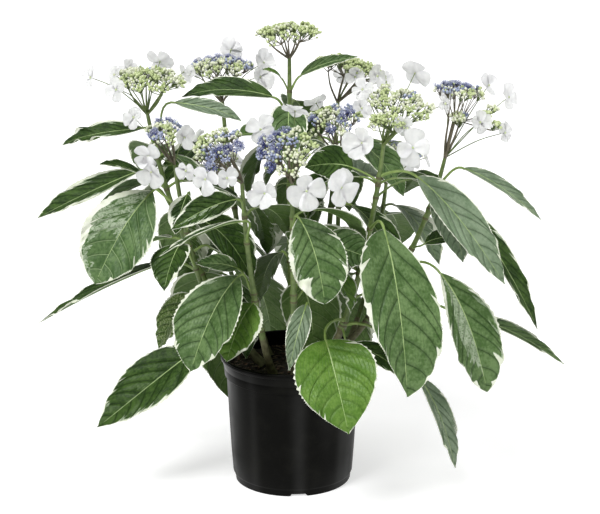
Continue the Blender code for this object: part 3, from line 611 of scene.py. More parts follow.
class Sheaf:
    """Gathers points and faces of one kind, and makes them into one object."""

    def __init__(self) -> None:
        """Start with nothing."""
        self.points: List[Array] = []
        self.faces: List[Array] = []
        self.finish: List[Array] = []
        self.maps: Dict[str, List[Array]] = {}
        self.count = 0

    def add(self, points: Array, faces: Array, finish: Union[int, Array],
            **maps: Array) -> None:
        """Add a shape.

        Args:
            points: Its points.
            faces: Its faces, by number within these points.
            finish: Number of the finish, for all faces or for each.
            maps: Named maps, each as (face, corner, 2).
        """
        self.points.append(points)
        self.faces.append(np.where(faces < 0, -1, faces + self.count))
        self.finish.append(np.broadcast_to(finish, len(faces)))
        for name, corners in maps.items():
            self.maps.setdefault(name, []).append(corners)
        self.count += len(points)

    def piece(self, name: str, finishes: Sequence, slot: str, nodes: Sequence[str],
              crease: float = 180.0) -> None:
        """Make the object, dress it and set it on the plant, unless nothing was gathered.

        Args:
            name: The object's name.
            finishes: Its finishes, in the order that the finish numbers mean.
            slot: The record's material slot; it is not used.
            nodes: CAD nodes that it stands for.
            crease: Edges bent more than this many degrees look sharp.
        """
        if not self.points:
            return
        faces = np.vstack(self.faces)
        inside = faces >= 0
        sizes = inside.sum(1)
        mesh = bpy.data.meshes.new(name)
        points = np.vstack(self.points).astype(np.float32)
        mesh.vertices.add(len(points))
        mesh.vertices.foreach_set("co", points.ravel())
        mesh.loops.add(int(sizes.sum()))
        mesh.loops.foreach_set("vertex_index", faces[inside].astype(np.int32))
        mesh.polygons.add(len(faces))
        starts = np.concatenate(((0,), np.cumsum(sizes)[:-1])).astype(np.int32)
        mesh.polygons.foreach_set("loop_start", starts)
        used, numbers = np.unique(np.concatenate(self.finish), return_inverse=True)
        for number in used:
            mesh.materials.append(dressing(finishes[int(number)]))
        mesh.polygons.foreach_set("material_index", numbers.astype(np.int32))
        for title, corners in self.maps.items():
            layer = mesh.uv_layers.new(name=title)
            layer.data.foreach_set("uv", np.vstack(corners)[inside].astype(np.float32).ravel())
        mesh.update(calc_edges=True)
        mesh.validate()
        mesh.shade_smooth()
        if crease < 180.0:
            mesh.set_sharp_from_angle(angle=math.radians(crease))
        thing = bpy.data.objects.new(name, mesh)
        bpy.context.scene.collection.objects.link(thing)
        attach(thing, "root")
        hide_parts(*nodes)
        log.info("%s: %d triangles", name, int((sizes - 2).sum()))


_dressed: Dict[str, bpy.types.Material] = {}


def dressing(finish: Any) -> bpy.types.Material:
    """The material of a finish, made once.

    Args:
        finish: The finish.

    Returns:
        Its material.
    """
    if finish.name not in _dressed:
        _dressed[finish.name] = finish.material()
    return _dressed[finish.name]


# ------------ the plan of the plant


class Bloom(Enum):
    """How far a flower head has opened: shares of lime, cream and blue buds, and stars."""

    LIME = (0.80, 0.20, 0.00, 0.00)
    CREAM = (0.45, 0.50, 0.05, 0.00)
    TURNING = (0.30, 0.25, 0.30, 0.15)
    BLUE = (0.22, 0.30, 0.26, 0.22)
    VIVID = (0.12, 0.33, 0.25, 0.30)
    BUDDING = (0.64, 0.24, 0.09, 0.03)


@dataclass(frozen=True)
class Splash:
    """A patch on half a blade: its side, where it is centred, its length and its depth."""

    side: int                   # 0 left, 1 right
    centre: float
    spread: float
    depth: float


@dataclass(frozen=True)
class Leaf:
    """A leaf whose place is chosen: its node, the ends of its blade, its shape and tints."""

    share: float
    base: Triple
    tip: Triple
    width: float = 0.56
    lift: Tuple[float, float] = (0.22, 0.12)
    roll: float = 0.0
    tone: Tone = Tone.MID
    edge: Tuple[float, float] = (0.03, 0.03)    # cream, as a share of each half blade
    pale: Tuple[float, float] = (0.01, 0.01)    # half tone inside it
    wave: float = 1.0
    splash: Tuple[Splash, ...] = ()             # deeper cream
    streak: Tuple[Splash, ...] = ()             # half tone beside the midrib
    skew: float = 0.0                           # right half broadest later, left sooner
    form: float = 0.0                           # both halves broadest later


@dataclass(frozen=True)
class Shoot:
    """A shoot from its foot to its flower head, with the leaves whose places are chosen."""

    name: str
    foot: Optional[Tuple[float, float]]
    hub: Triple
    dome: Triple
    dome_radius: float
    florets: Tuple[Tuple[float, float, float, float], ...]  # turn, reach, drop and width
    bloom: Bloom
    bearer: str = ""
    turn: float = 0.0                           # of the first pair of leaves by the rule
    nod: float = HEAD_LEAN                      # how far its head follows its lean in depth
    blue_side: Optional[float] = None           # where round the head its stars gather
    strays: Tuple[Tuple[float, float, float, float], ...] = ()  # turn, reach, drop, spread
    leaves: Tuple[Leaf, ...] = ()


SHOOTS = (
    Shoot(
        "far_left", (-0.040, 0.002), (-0.185, 0.000, 0.495), (-0.180, -0.006, 0.539), 0.045,
        ((186, 1.65, 0.000, 0.028), (165, 1.05, 0.000, 0.026), (126, 1.20, 0.000, 0.026),
         (80, 1.15, -0.010, 0.033), (45, 1.25, -0.002, 0.024), (226, 1.25, 0.004, 0.028)),
        Bloom.CREAM, turn=200,
        leaves=(
            Leaf(0.88, (-0.190, -0.010, 0.478), (-0.291, -0.030, 0.460), 0.40, (0.02, 0.10),
                 -16, Tone.DARK, (0.10, 0.06), wave=2.4),
            Leaf(0.87, (-0.149, -0.020, 0.513), (-0.064, -0.042, 0.494), 0.30, (0.05, 0.10),
                 30, Tone.GREY),
            Leaf(0.74, (-0.196, -0.010, 0.422), (-0.323, -0.050, 0.370), 0.38, (0.02, 0.02),
                 -14, Tone.DARK, (0.10, 0.16), (0.04, 0.08)),
            Leaf(0.66, (-0.178, -0.030, 0.400), (-0.248, -0.095, 0.296), 0.66, (0.10, 0.06),
                 -34, Tone.LIT, (0.06, 0.03), (0.30, 0.02),
                 streak=(Splash(0, 0.14, 0.30, 0.95),),
                 splash=(Splash(0, 0.34, 0.28, 0.14), Splash(0, 0.02, 0.10, 0.16),
                         Splash(1, 0.84, 0.03, 0.30)), form=0.25),
            Leaf(0.42, (-0.172, 0.020, 0.290), (-0.338, 0.030, 0.204), 0.34, (0.03, 0.02),
                 0, Tone.DARK, (0.04, 0.10)),
            Leaf(0.24, (-0.124, -0.030, 0.188), (-0.252, -0.080, 0.098), 0.46, (0.02, 0.00),
                 -30, Tone.DARK, (0.03, 0.06), (0.02, 0.03),
                 splash=(Splash(0, 0.80, 0.08, 0.14), Splash(1, 0.90, 0.05, 0.20))),
            Leaf(0.30, (-0.130, 0.012, 0.246), (-0.178, 0.016, 0.172), 0.66, (0.12, 0.08),
                 -40, Tone.MOTTLED, (0.05, 0.05)),
        ),
    ),
    Shoot(
        "left", None, (-0.148, -0.052, 0.440), (-0.160, -0.080, 0.488), 0.022,
        ((234, 1.30, 0.012, 0.031), (242, 1.30, 0.030, 0.034), (345, 1.25, 0.004, 0.033),
         (165, 1.70, -0.014, 0.030)),
        Bloom.BLUE, bearer="far_left", turn=250, nod=1.2,
        leaves=(
            Leaf(0.78, (-0.184, -0.045, 0.418), (-0.240, -0.080, 0.447), 0.42, (0.14, 0.10),
                 -10, Tone.DARK, (0.05, 0.10)),
            Leaf(0.68, (-0.132, -0.062, 0.404), (-0.146, -0.092, 0.360), 0.60, (0.12, 0.10),
                 10, Tone.DARK, (0.32, 0.04), (0.10, 0.03)),
            Leaf(0.50, (-0.142, -0.060, 0.338), (-0.160, -0.112, 0.292), 0.80, (0.14, 0.10),
                 10, Tone.DARK, (0.03, 0.08), (0.02, 0.04),
                 splash=(Splash(1, 0.66, 0.20, 0.34),)),
        ),
    ),
    Shoot(
        "front_left", (-0.026, -0.034), (-0.062, -0.106, 0.430), (-0.090, -0.134, 0.482), 0.032,
        ((210, 1.40, 0.006, 0.026), (250, 1.30, 0.008, 0.033), (288, 1.25, 0.012, 0.027),
         (138, 1.00, 0.000, 0.024)),
        Bloom.VIVID, turn=160, nod=1.3, blue_side=-50.0,
        leaves=(
            Leaf(0.86, (-0.068, -0.112, 0.410), (-0.148, -0.136, 0.378), 0.44, (0.10, 0.06),
                 -40, Tone.DARK, (0.05, 0.08), (0.03, 0.08),
                 splash=(Splash(0, 0.62, 0.20, 0.22), Splash(1, 0.40, 0.25, 0.14)),
                 streak=(Splash(1, 0.55, 0.30, 0.30),)),
            Leaf(0.74, (-0.060, -0.132, 0.388), (-0.160, -0.186, 0.358), 0.30, (0.10, 0.04),
                 20, Tone.DARK, (0.14, 0.10), (0.10, 0.05)),
            Leaf(0.46, (-0.067, -0.092, 0.306), (-0.126, -0.156, 0.201), 0.66, (0.14, 0.08),
                 -14, Tone.MID, (0.02, 0.02),
                 splash=(Splash(0, 0.06, 0.10, 0.08), Splash(1, 0.66, 0.03, 0.22),
                         Splash(1, 0.84, 0.04, 0.34), Splash(0, 0.62, 0.03, 0.14)),
                 form=0.12),
            Leaf(0.50, (-0.070, -0.066, 0.308), (-0.122, -0.078, 0.318), 0.50, (0.10, 0.06),
                 -40, Tone.MID),
            Leaf(0.30, (-0.050, -0.082, 0.266), (-0.082, -0.134, 0.206), 0.78, (0.16, 0.10),
                 -10, Tone.BRIGHT, (0.03, 0.08),
                 splash=(Splash(1, 0.70, 0.18, 0.12),)),
        ),
    ),
    Shoot(
        "front", (0.004, -0.046), (0.000, -0.108, 0.431), (-0.006, -0.146, 0.479), 0.038,
        ((238, 1.30, 0.018, 0.036), (297, 1.35, 0.014, 0.046), (324, 2.10, 0.010, 0.046),
         (132, 1.25, 0.000, 0.036), (78, 1.25, -0.012, 0.036)),
        Bloom.VIVID, turn=100, nod=0.95, blue_side=175.0,
        leaves=(
            Leaf(0.80, (0.008, -0.132, 0.392), (0.040, -0.186, 0.298), 0.66, (0.20, 0.14),
                 10, Tone.MID, (0.03, 0.02), (0.05, 0.02),
                 splash=(Splash(0, 0.66, 0.13, 0.46), Splash(0, 0.24, 0.14, 0.10),
                         Splash(1, 0.40, 0.04, 0.16), Splash(1, 0.66, 0.03, 0.20)),
                 form=0.15),
            Leaf(0.30, (0.018, -0.086, 0.266), (-0.004, -0.132, 0.194), 0.34, (0.16, 0.12),
                 0, Tone.GREY, (0.04, 0.04)),
            Leaf(0.62, (0.036, -0.076, 0.340), (0.100, -0.096, 0.328), 0.80, (0.10, 0.06),
                 62, Tone.MID),
            Leaf(0.46, (0.050, -0.062, 0.306), (0.074, -0.092, 0.256), 0.80, (0.12, 0.08),
                 10, Tone.BRIGHT, (0.08, 0.08), (0.14, 0.10), wave=2.2),
        ),
    ),
    Shoot(
        "top", (-0.002, 0.012), (-0.004, 0.050, 0.558), (-0.006, 0.050, 0.590), 0.042, (),
        Bloom.LIME, turn=175,
        leaves=(
            Leaf(0.82, (-0.025, 0.034, 0.509), (-0.142, 0.024, 0.511), 0.42, (0.10, 0.12),
                 -20, Tone.DARK),
            Leaf(0.90, (-0.014, 0.043, 0.532), (-0.038, 0.030, 0.546), 0.50, (0.14, 0.10),
                 -20, Tone.BRIGHT, (0.06, 0.04)),
            Leaf(0.90, (0.010, 0.048, 0.534), (0.084, 0.044, 0.560), 0.32, (0.10, 0.06),
                 26, Tone.MID, (0.10, 0.04)),
        ),
    ),
    Shoot(
        "rear_left", (-0.032, 0.036), (-0.093, 0.100, 0.490), (-0.093, 0.102, 0.535), 0.044,
        ((78, 1.10, -0.016, 0.035), (12, 1.25, -0.004, 0.038), (340, 1.20, 0.010, 0.034),
         (208, 1.05, 0.006, 0.025), (130, 1.15, 0.006, 0.030)),
        Bloom.VIVID, turn=140, blue_side=90.0,
    ),
    Shoot(
        "rear_right", (0.026, 0.040), (0.060, 0.100, 0.490), (0.079, 0.108, 0.533), 0.048,
        ((273, 0.95, 0.008, 0.029), (312, 1.00, 0.000, 0.028), (100, 1.15, 0.018, 0.030),
         (40, 1.20, 0.012, 0.032)),
        Bloom.BUDDING, turn=60, blue_side=90.0,
    ),
    Shoot(
        "inner_right", None, (0.062, 0.030, 0.432), (0.052, 0.010, 0.484), 0.037,
        ((117, 1.25, -0.002, 0.034), (30, 1.15, 0.000, 0.029)),
        Bloom.BLUE, bearer="rear_right", turn=320, nod=0.9,
    ),
    Shoot(
        "front_right", (0.038, -0.024), (0.114, -0.066, 0.470), (0.133, -0.092, 0.522), 0.042,
        ((153, 1.25, 0.000, 0.027), (212, 1.35, 0.036, 0.040), (273, 0.85, 0.002, 0.027),
         (284, 1.30, 0.018, 0.040), (69, 1.35, -0.016, 0.035), (20, 1.45, -0.002, 0.020)),
        Bloom.CREAM, turn=290, nod=0.8, strays=((215, 0.85, 0.011, 0.011),),
        leaves=(
            Leaf(0.88, (0.156, -0.076, 0.430), (0.265, -0.116, 0.302), 0.36, (0.08, 0.04),
                 30, Tone.GREY, (0.03, 0.05)),
            Leaf(0.86, (0.076, -0.070, 0.440), (0.016, -0.084, 0.444), 0.80, (0.12, 0.08),
                 -56, Tone.DARK),
            Leaf(0.68, (0.114, -0.112, 0.372), (0.142, -0.186, 0.178), 0.49, (0.12, 0.08),
                 0, Tone.MID, (0.02, 0.02),
                 splash=(Splash(0, 0.14, 0.02, 0.16), Splash(0, 0.52, 0.02, 0.12),
                         Splash(1, 0.50, 0.02, 0.10), Splash(1, 0.80, 0.03, 0.10)),
                 skew=0.22, form=0.10),
            Leaf(0.28, (0.042, -0.120, 0.230), (0.070, -0.192, 0.132), 0.86, (0.16, 0.10),
                 0, Tone.BRIGHT, (0.015, 0.02),
                 splash=(Splash(1, 0.97, 0.02, 0.20),)),
            Leaf(0.26, (0.163, -0.056, 0.158), (0.212, -0.076, 0.040), 0.34, (0.10, 0.06),
                 20, Tone.GREY, (0.08, 0.04), (0.10, 0.03),
                 streak=(Splash(0, 0.45, 0.40, 0.60),)),
            Leaf(0.24, (0.074, -0.060, 0.204), (0.153, -0.086, 0.164), 0.40, (0.12, 0.08),
                 20, Tone.DARK),
            Leaf(0.80, (0.152, -0.030, 0.416), (0.202, -0.010, 0.396), 0.56, (0.14, 0.10),
                 30, Tone.DARK),
        ),
    ),
    Shoot(
        "far_right", (0.046, 0.010), (0.198, 0.028, 0.430), (0.217, 0.026, 0.518), 0.032,
        ((28, 1.30, -0.008, 0.031), (0, 1.90, 0.000, 0.035), (303, 1.25, 0.030, 0.034),
         (346, 1.80, 0.044, 0.032), (110, 1.20, 0.010, 0.028)),
        Bloom.VIVID, turn=20, blue_side=120.0,
        strays=((246, 0.40, 0.0315, 0.008), (340, 1.50, 0.033, 0.003),
                (350, 1.36, 0.014, 0.003), (330, 1.15, 0.0205, 0.003)),
        leaves=(
            Leaf(0.88, (0.222, 0.020, 0.418), (0.324, 0.016, 0.350), 0.30, (0.08, 0.06),
                 16, Tone.GREY, (0.06, 0.04)),
            Leaf(0.78, (0.232, 0.000, 0.364), (0.319, -0.024, 0.213), 0.30, (0.02, 0.04),
                 10, Tone.DARK, (0.05, 0.06)),
            Leaf(0.52, (0.190, -0.030, 0.292), (0.250, -0.084, 0.148), 0.46, (0.14, 0.08),
                 14, Tone.MID, (0.02, 0.04), (0.03, 0.04),
                 splash=(Splash(0, 0.01, 0.06, 0.35), Splash(0, 0.84, 0.04, 0.40),
                         Splash(1, 0.62, 0.03, 0.26), Splash(1, 0.90, 0.04, 0.30)),
                 streak=(Splash(0, 0.36, 0.40, 0.58),), form=0.18),
            Leaf(0.34, (0.240, 0.026, 0.212), (0.364, 0.036, 0.144), 0.26, (0.08, 0.06),
                 16, Tone.MID, (0.10, 0.10), (0.10, 0.06)),
            Leaf(0.60, (0.172, -0.006, 0.324), (0.214, -0.010, 0.334), 0.60, (0.12, 0.08),
                 40, Tone.DARK),
        ),
    ),
    Shoot(
        "back_left", None, (-0.110, 0.165, 0.352), (-0.116, 0.186, 0.392), 0.038,
        ((80, 1.15, 0.010, 0.036), (140, 1.20, 0.014, 0.034), (200, 1.15, 0.006, 0.030),
         (30, 1.10, 0.006, 0.038)),
        Bloom.TURNING, bearer="rear_left", turn=110,
    ),
    Shoot(
        "back_right", None, (0.128, 0.165, 0.362), (0.138, 0.186, 0.404), 0.040,
        ((60, 1.15, 0.010, 0.038), (110, 1.20, 0.014, 0.034), (350, 1.10, 0.006, 0.030),
         (160, 1.10, 0.004, 0.034)),
        Bloom.VIVID, bearer="far_right", turn=40,
    ),
    Shoot(
        "back", None, (0.004, 0.190, 0.372), (0.004, 0.214, 0.412), 0.042,
        ((50, 1.15, 0.012, 0.034), (95, 1.20, 0.016, 0.038), (140, 1.15, 0.008, 0.032),
         (355, 1.10, 0.004, 0.034)),
        Bloom.CREAM, bearer="top", turn=90,
    ),
)


# ------------ leaves


class LeafLine:
    """The bend of one leaf: its petiole's curve, its blade's curve and its frame."""

    def __init__(self, node: Array, base: Any, tip: Any, width: float,
                 lift: Tuple[float, float], roll: float) -> None:
        """Lay the two curves.

        The blade's curve rises off its chord by the two lifts, square to the chord.  The
        petiole leaves the node outwards and upwards and meets the blade in its direction.

        Args:
            node: Where the petiole leaves the stem.
            base: Foot of the blade.
            tip: Tip of the blade.
            width: The blade's width as a share of its length.
            lift: Rise of the two middle controls, as shares of the length.
            roll: Turn of the blade about its own line, in degrees.
        """
        node, base, tip = (np.asarray(p, dtype=float) for p in (node, base, tip))
        chord = tip - base
        self.length = float(np.linalg.norm(chord))
        self.side = unit(np.cross(UP, unit((tip - node) * (1, 1, 0) + (1e-6, 0, 0))))
        arch = unit(np.cross(chord, self.side)) * self.length
        near, far = BLADE_CONTROLS
        self.controls = (base, base + chord * near + arch * lift[0],
                         base + chord * far + arch * lift[1], tip)
        stalk = float(np.linalg.norm(base - node))
        leaving = unit((base - node) * (1, 1, 0.4) + UP * stalk * 0.5)
        self.stalk = (node, node + leaving * stalk * 0.45,
                      base - slope(self.controls, 0.0) * stalk * 0.35, base)
        self.width = width * self.length
        self.roll = math.radians(roll)

    def at(self, shares: Array) -> Tuple[Array, Array, Array]:
        """The blade's frame along its curve, rolled about it.

        Args:
            shares: Where along the curve, from 0 to 1.

        Returns:
            Points, side vectors and upper normals.
        """
        points, along = curve(self.controls, shares), slope(self.controls, shares)
        side = unit(self.side - along * (along @ self.side)[..., None])
        normal = np.cross(along, side)
        c, s = math.cos(self.roll), math.sin(self.roll)
        return points, side * c + normal * s, normal * c - side * s

    def lies_on(self, surface: BVHTree) -> bool:
        """Whether a mass's surface passes through this leaf's own crest and tip.

        Args:
            surface: The mass of solids.

        Returns:
            True where the mass has this very leaf.
        """
        points, _, normals = self.at(np.array(SOLID_STATIONS))
        crest = points + normals * 0.5 * BLADE_THICKNESS * self.length
        tests = np.vstack((crest, self.controls[3]))
        return all(surface.find_nearest(Vector(p))[3] < ON_SURFACE for p in tests)


def outline(shares: Array, skew: Any = 0.0) -> Array:
    """Half-width of a blade at shares of its length, at most 0.5.

    It is t^a (1-t)^b over its peak.  A skew raises a and lowers b, so the blade is
    broadest nearer its tip.

    Args:
        shares: Shares of the length.
        skew: The skew, for each share or for all.

    Returns:
        Half widths, as shares of the whole width.
    """
    a, b = BLADE_SWELL * (1 + skew), BLADE_TAPER * (1 - skew)
    peak = a / (a + b)
    return 0.5 * shares ** a * (1 - shares) ** b / (peak ** a * (1 - peak) ** b)


@dataclass
class Blade:
    """One leaf as it is seen: a thin closed skin with teeth, veins, waves and a pale edge."""

    line: LeafLine
    leaf: Leaf
    chance: np.random.Generator
    rows: int
    veins: int = 7
    vein_lag: float = 0.38      # how far the right half's veins stand off the left's
    shear: float = 0.54         # how far a vein runs forward by the edge, of what is ahead
    tooth: float = 0.046        # depth of the teeth, of the half width
    quilt: float = 0.0085       # rise between veins, of the length
    wave_rise: float = 0.085    # of the half width
    thickness: float = 0.0007
    stalk_sides: int = 6
    stalk_rings: int = 9
    rib_rings: int = 18
    inner_columns: Tuple[float, ...] = (0.08, 0.25, 0.43, 0.61, 0.80, 1.0)
    pale_columns: Tuple[float, ...] = (0.34, 0.67, 1.0)
    patch_rows: int = 3         # rows that a patch of the mosaic runs on
    skewed: float = field(init=False)

    def __post_init__(self) -> None:
        """Give the leaf a slight skew of its own."""
        self.skewed = self.chance.uniform(-0.08, 0.08)

    def stations(self) -> Array:
        """Where the rows leave the midrib: closer together by the base."""
        return np.linspace(0.0, 1.0, self.rows + 1) ** 1.6

    def borders(self, side: int) -> Tuple[Array, Array]:
        """Where the half tone and the cream begin, as shares of the half width.

        Both follow the edge.  The cream's depth is the leaf's own share of it, times a
        slow wave, spikes that some fields between the veins have more of, and a swell by
        the base.  Bell curves for the splashes, a few notches and a cream tip come on top.

        Args:
            side: 0 for the left half and 1 for the right.

        Returns:
            The two borders at each row.
        """
        t = self.stations()
        rows = len(t)
        wanted, pale = self.leaf.edge[side], self.leaf.pale[side]
        field = self.chance.random(self.veins + 2)[(t * self.veins + 0.5).astype(int)]
        spikes = np.convolve(self.chance.random(rows) ** 4, (0.35, 1.0, 0.35), "same")
        slow = 0.5 + 0.5 * np.sin(2 * math.pi * (t * self.chance.uniform(1.0, 2.4)
                                                 + self.chance.random()))
        swell = wanted * (0.40 + 0.7 * slow + 1.4 * spikes * field + 0.9 * np.exp(-t / 0.10))
        for splash in self.leaf.splash:
            if splash.side == side:
                bell = np.exp(-((t - splash.centre) / splash.spread) ** 2)
                swell += splash.depth * bell * (0.72 + 0.3 * spikes + 0.4 * field)
        swell += self.chance.uniform(0.10, 0.30, rows) * (self.chance.random(rows) > 0.965)
        swell += np.exp(-((1 - t) / 0.05) ** 2) * 0.3
        cream = np.clip(1 - swell, 0.16, 0.985)
        reach = pale * (0.20 + 1.1 * field * self.chance.random(rows) + 0.7 * slow)
        return np.clip(cream - reach, 0.10, 0.98), cream

    def grid(self) -> Tuple[Array, Array, Array, Array]:
        """The blade's upper surface.

        A point at row t and column s lies at share t + shear (1 - t) (3|s| + s^2)/4 of the
        blade's curve, so that rows run forward as the side veins do, and at s half widths
        aside.  By the base that shear fades in.  Fields between the veins are humps, and
        the edge has waves.

        Returns:
            Shares, columns, vein counts and points, each on a grid of rows and columns.
        """
        t = self.stations()
        columns = []
        for side, sign in ((0, -1), (1, 1)):
            half_tone, cream = self.borders(side)
            steps = [half_tone * part for part in self.inner_columns]
            steps += [half_tone + (cream - half_tone) * part for part in self.pale_columns]
            steps += [0.5 + cream / 2, np.ones_like(t)]
            columns.append(np.stack(steps, 1) * sign)
        s = np.hstack((columns[0][:, ::-1], np.zeros((len(t), 1)), columns[1]))
        rows = t[:, None] + np.zeros_like(s)
        aside = np.abs(s)
        at_edge = aside > 0.999
        odd = (np.arange(len(t)) % 2)[:, None]
        lean = np.where(at_edge, odd * 0.35 / self.rows, 0.0)
        arc = np.sin(math.pi * rows)
        ahead = (1 - rows) * np.sin(np.minimum(rows / 0.22, 1.0) * math.pi / 2)
        share = rows + self.shear * ahead * (0.75 * aside + 0.25 * s ** 2)
        share = np.clip(share + lean * np.minimum(arc * 3, 1.0), 0, 0.9995)
        count = rows * self.veins + np.where(s < 0, 0.0, self.vein_lag)
        points, side, normal = self.line.at(share)
        skew = self.leaf.skew * np.sign(s) + self.leaf.form + self.skewed
        half = np.maximum(outline(share, skew) * self.line.width, PETIOLE_RADIUS * 0.7)
        jag = self.tooth * self.chance.uniform(0.5, 1.0, s.shape) * (1.4 * odd - 0.5)
        reach = s * half * (1 + np.where(at_edge, jag, 0.0))
        fold = math.radians(BLADE_FOLD)
        hump = np.abs(np.sin(math.pi * count)) ** 0.65
        fade = np.minimum(aside / 0.10, 1.0) * (1 - aside ** 2) * arc ** 0.5
        turns = self.chance.random(3)
        waves = np.sin(2 * math.pi * (rows * 2.3 + np.where(s < 0, turns[0], turns[1]))) \
            + 0.5 * np.sin(2 * math.pi * (rows * 4.7 + np.where(s < 0, turns[1], turns[2])))
        rise = (np.abs(reach) * math.sin(fold) * (1.12 - 0.30 * aside)
                + (hump - 0.7) * self.quilt * self.line.length * fade
                + waves * self.leaf.wave * aside ** 2 * half * self.wave_rise * arc)
        return share, s, count, points + side * (reach * math.cos(fold))[..., None] \
            + normal * rise[..., None]

    def zones(self, s: Array) -> Array:
        """What each face of the upper side is: 0 body, 1 half tone, 2 cream.

        Where a half tone is broad it breaks up into a mosaic with the body, which is
        finer in the streaks beside the midrib.

        Args:
            s: The grid's columns.

        Returns:
            One number for each face.
        """
        across, along = s.shape[1] - 1, s.shape[0] - 1
        pale_from = len(self.inner_columns)
        cream_from = pale_from + len(self.pale_columns)
        order = np.abs(np.arange(across) - across / 2 + 0.5).astype(int)
        zone = np.tile(np.select([order >= cream_from, order >= pale_from], [2, 1], 0),
                       (along, 1))
        middle = (s[:-1, :-1] + s[1:, 1:]) / 2
        t = (self.stations()[:-1] + self.stations()[1:])[:, None] / 2
        luck = self.chance.random(zone.shape)
        patch = self.chance.random(zone.shape)[
            np.arange(along) // self.patch_rows * self.patch_rows]
        right = middle > 0
        broad = np.where(right, self.leaf.pale[1], self.leaf.pale[0])
        zone = np.where((zone == 0) & (order == pale_from - 1) & (patch < broad * 1.4), 1, zone)
        green_from = np.where(order > pale_from, 0.74, 0.56)
        for streak in self.leaf.streak:
            reach = streak.depth * np.exp(-((t - streak.centre) / streak.spread) ** 4)
            inside = (np.abs(middle) < reach * (0.85 + 0.3 * luck)) & (right == streak.side)
            zone = np.where(inside & (zone == 0), 1, zone)
            green_from = np.where(inside, 0.80, green_from)
        green = (patch > green_from) & (broad > 0.06)
        return np.where((zone == 1) & green, 0, zone).reshape(-1)

    def add_to(self, sheaf: Sheaf, cells: Sequence[Tuple[float, float, float, float]]) -> None:
        """Add the blade to its shoot's leaves.

        Args:
            sheaf: The shoot's leaves.
            cells: Two cells of the bake's map, for the upper and the lower side.
        """
        share, s, count, top = self.grid()
        _, _, normal = self.line.at(share)
        vertices, faces = shell(top, top - normal * self.thickness)
        tops = grid_faces(*s.shape)[:, ::-1]
        zone = self.zones(s)
        upper = np.array((self.leaf.tone.value, PALE, CREAM))[zone]
        lower = np.array((UNDER, UNDER_PALE, UNDER_CREAM))[zone]
        blade = np.stack((s * 0.5 + 0.5, count / VEIN_SCALE), -1).reshape(-1, 2)[tops]
        left = np.tile(np.arange(s.shape[1] - 1) < s.shape[1] // 2, s.shape[0] - 1)
        at_middle = (np.abs(s.reshape(-1)[tops]) < 1e-6) & left[:, None]
        blade[..., 1] -= np.where(at_middle, self.vein_lag / VEIN_SCALE, 0.0)
        flat = np.stack((0.5 + s * outline(share) * 0.92, 0.03 + 0.94 * share), -1)
        flats = [((flat * (wide, tall) + (start, low)).reshape(-1, 2))[tops]
                 for start, low, wide, tall in cells]
        sheaf.add(vertices, faces, np.concatenate((upper, lower)),
                  blade=np.concatenate((blade, blade[:, ::-1])),
                  OFBake=np.concatenate((flats[0], flats[1][:, ::-1])))

    def add_stalk(self, sheaf: Sheaf) -> None:
        """Add the petiole, which runs on under the blade as its midrib.

        Args:
            sheaf: The shoot's twigs.
        """
        sides, first_rib = self.stalk_sides, self.stalk_rings + 2
        stalk = curve(self.line.stalk, np.linspace(0.0, 0.94, self.stalk_rings))
        shares = np.linspace(0.0, 0.93, self.rib_rings)
        points, _, normal = self.line.at(shares)
        size = min(1.0, 0.55 + 0.45 * self.line.length / 0.15)
        ribs = np.interp(shares, (0, 0.12, 0.5, 1.0), (0.92, 0.62, 0.36, 0.12))
        rib = ribs * PETIOLE_RADIUS * size
        sunk = points - normal * (rib * 0.35)[:, None]
        swell = np.interp(np.linspace(0, 1, self.stalk_rings), (0, 0.12, 0.3, 1),
                          (1.5, 1.25, 1.0, 0.95))
        path = np.vstack((stalk, sunk))[None]
        radii = np.concatenate((swell * PETIOLE_RADIUS * size, rib))[None]
        vertices, faces = tubes(path, radii, sides, tuple(self.line.side))
        finish = np.full(len(faces), PETIOLE)
        finish[first_rib * sides:(self.stalk_rings + self.rib_rings - 1) * sides] = MIDRIB
        sheaf.add(vertices, faces, finish)


# ------------ stems


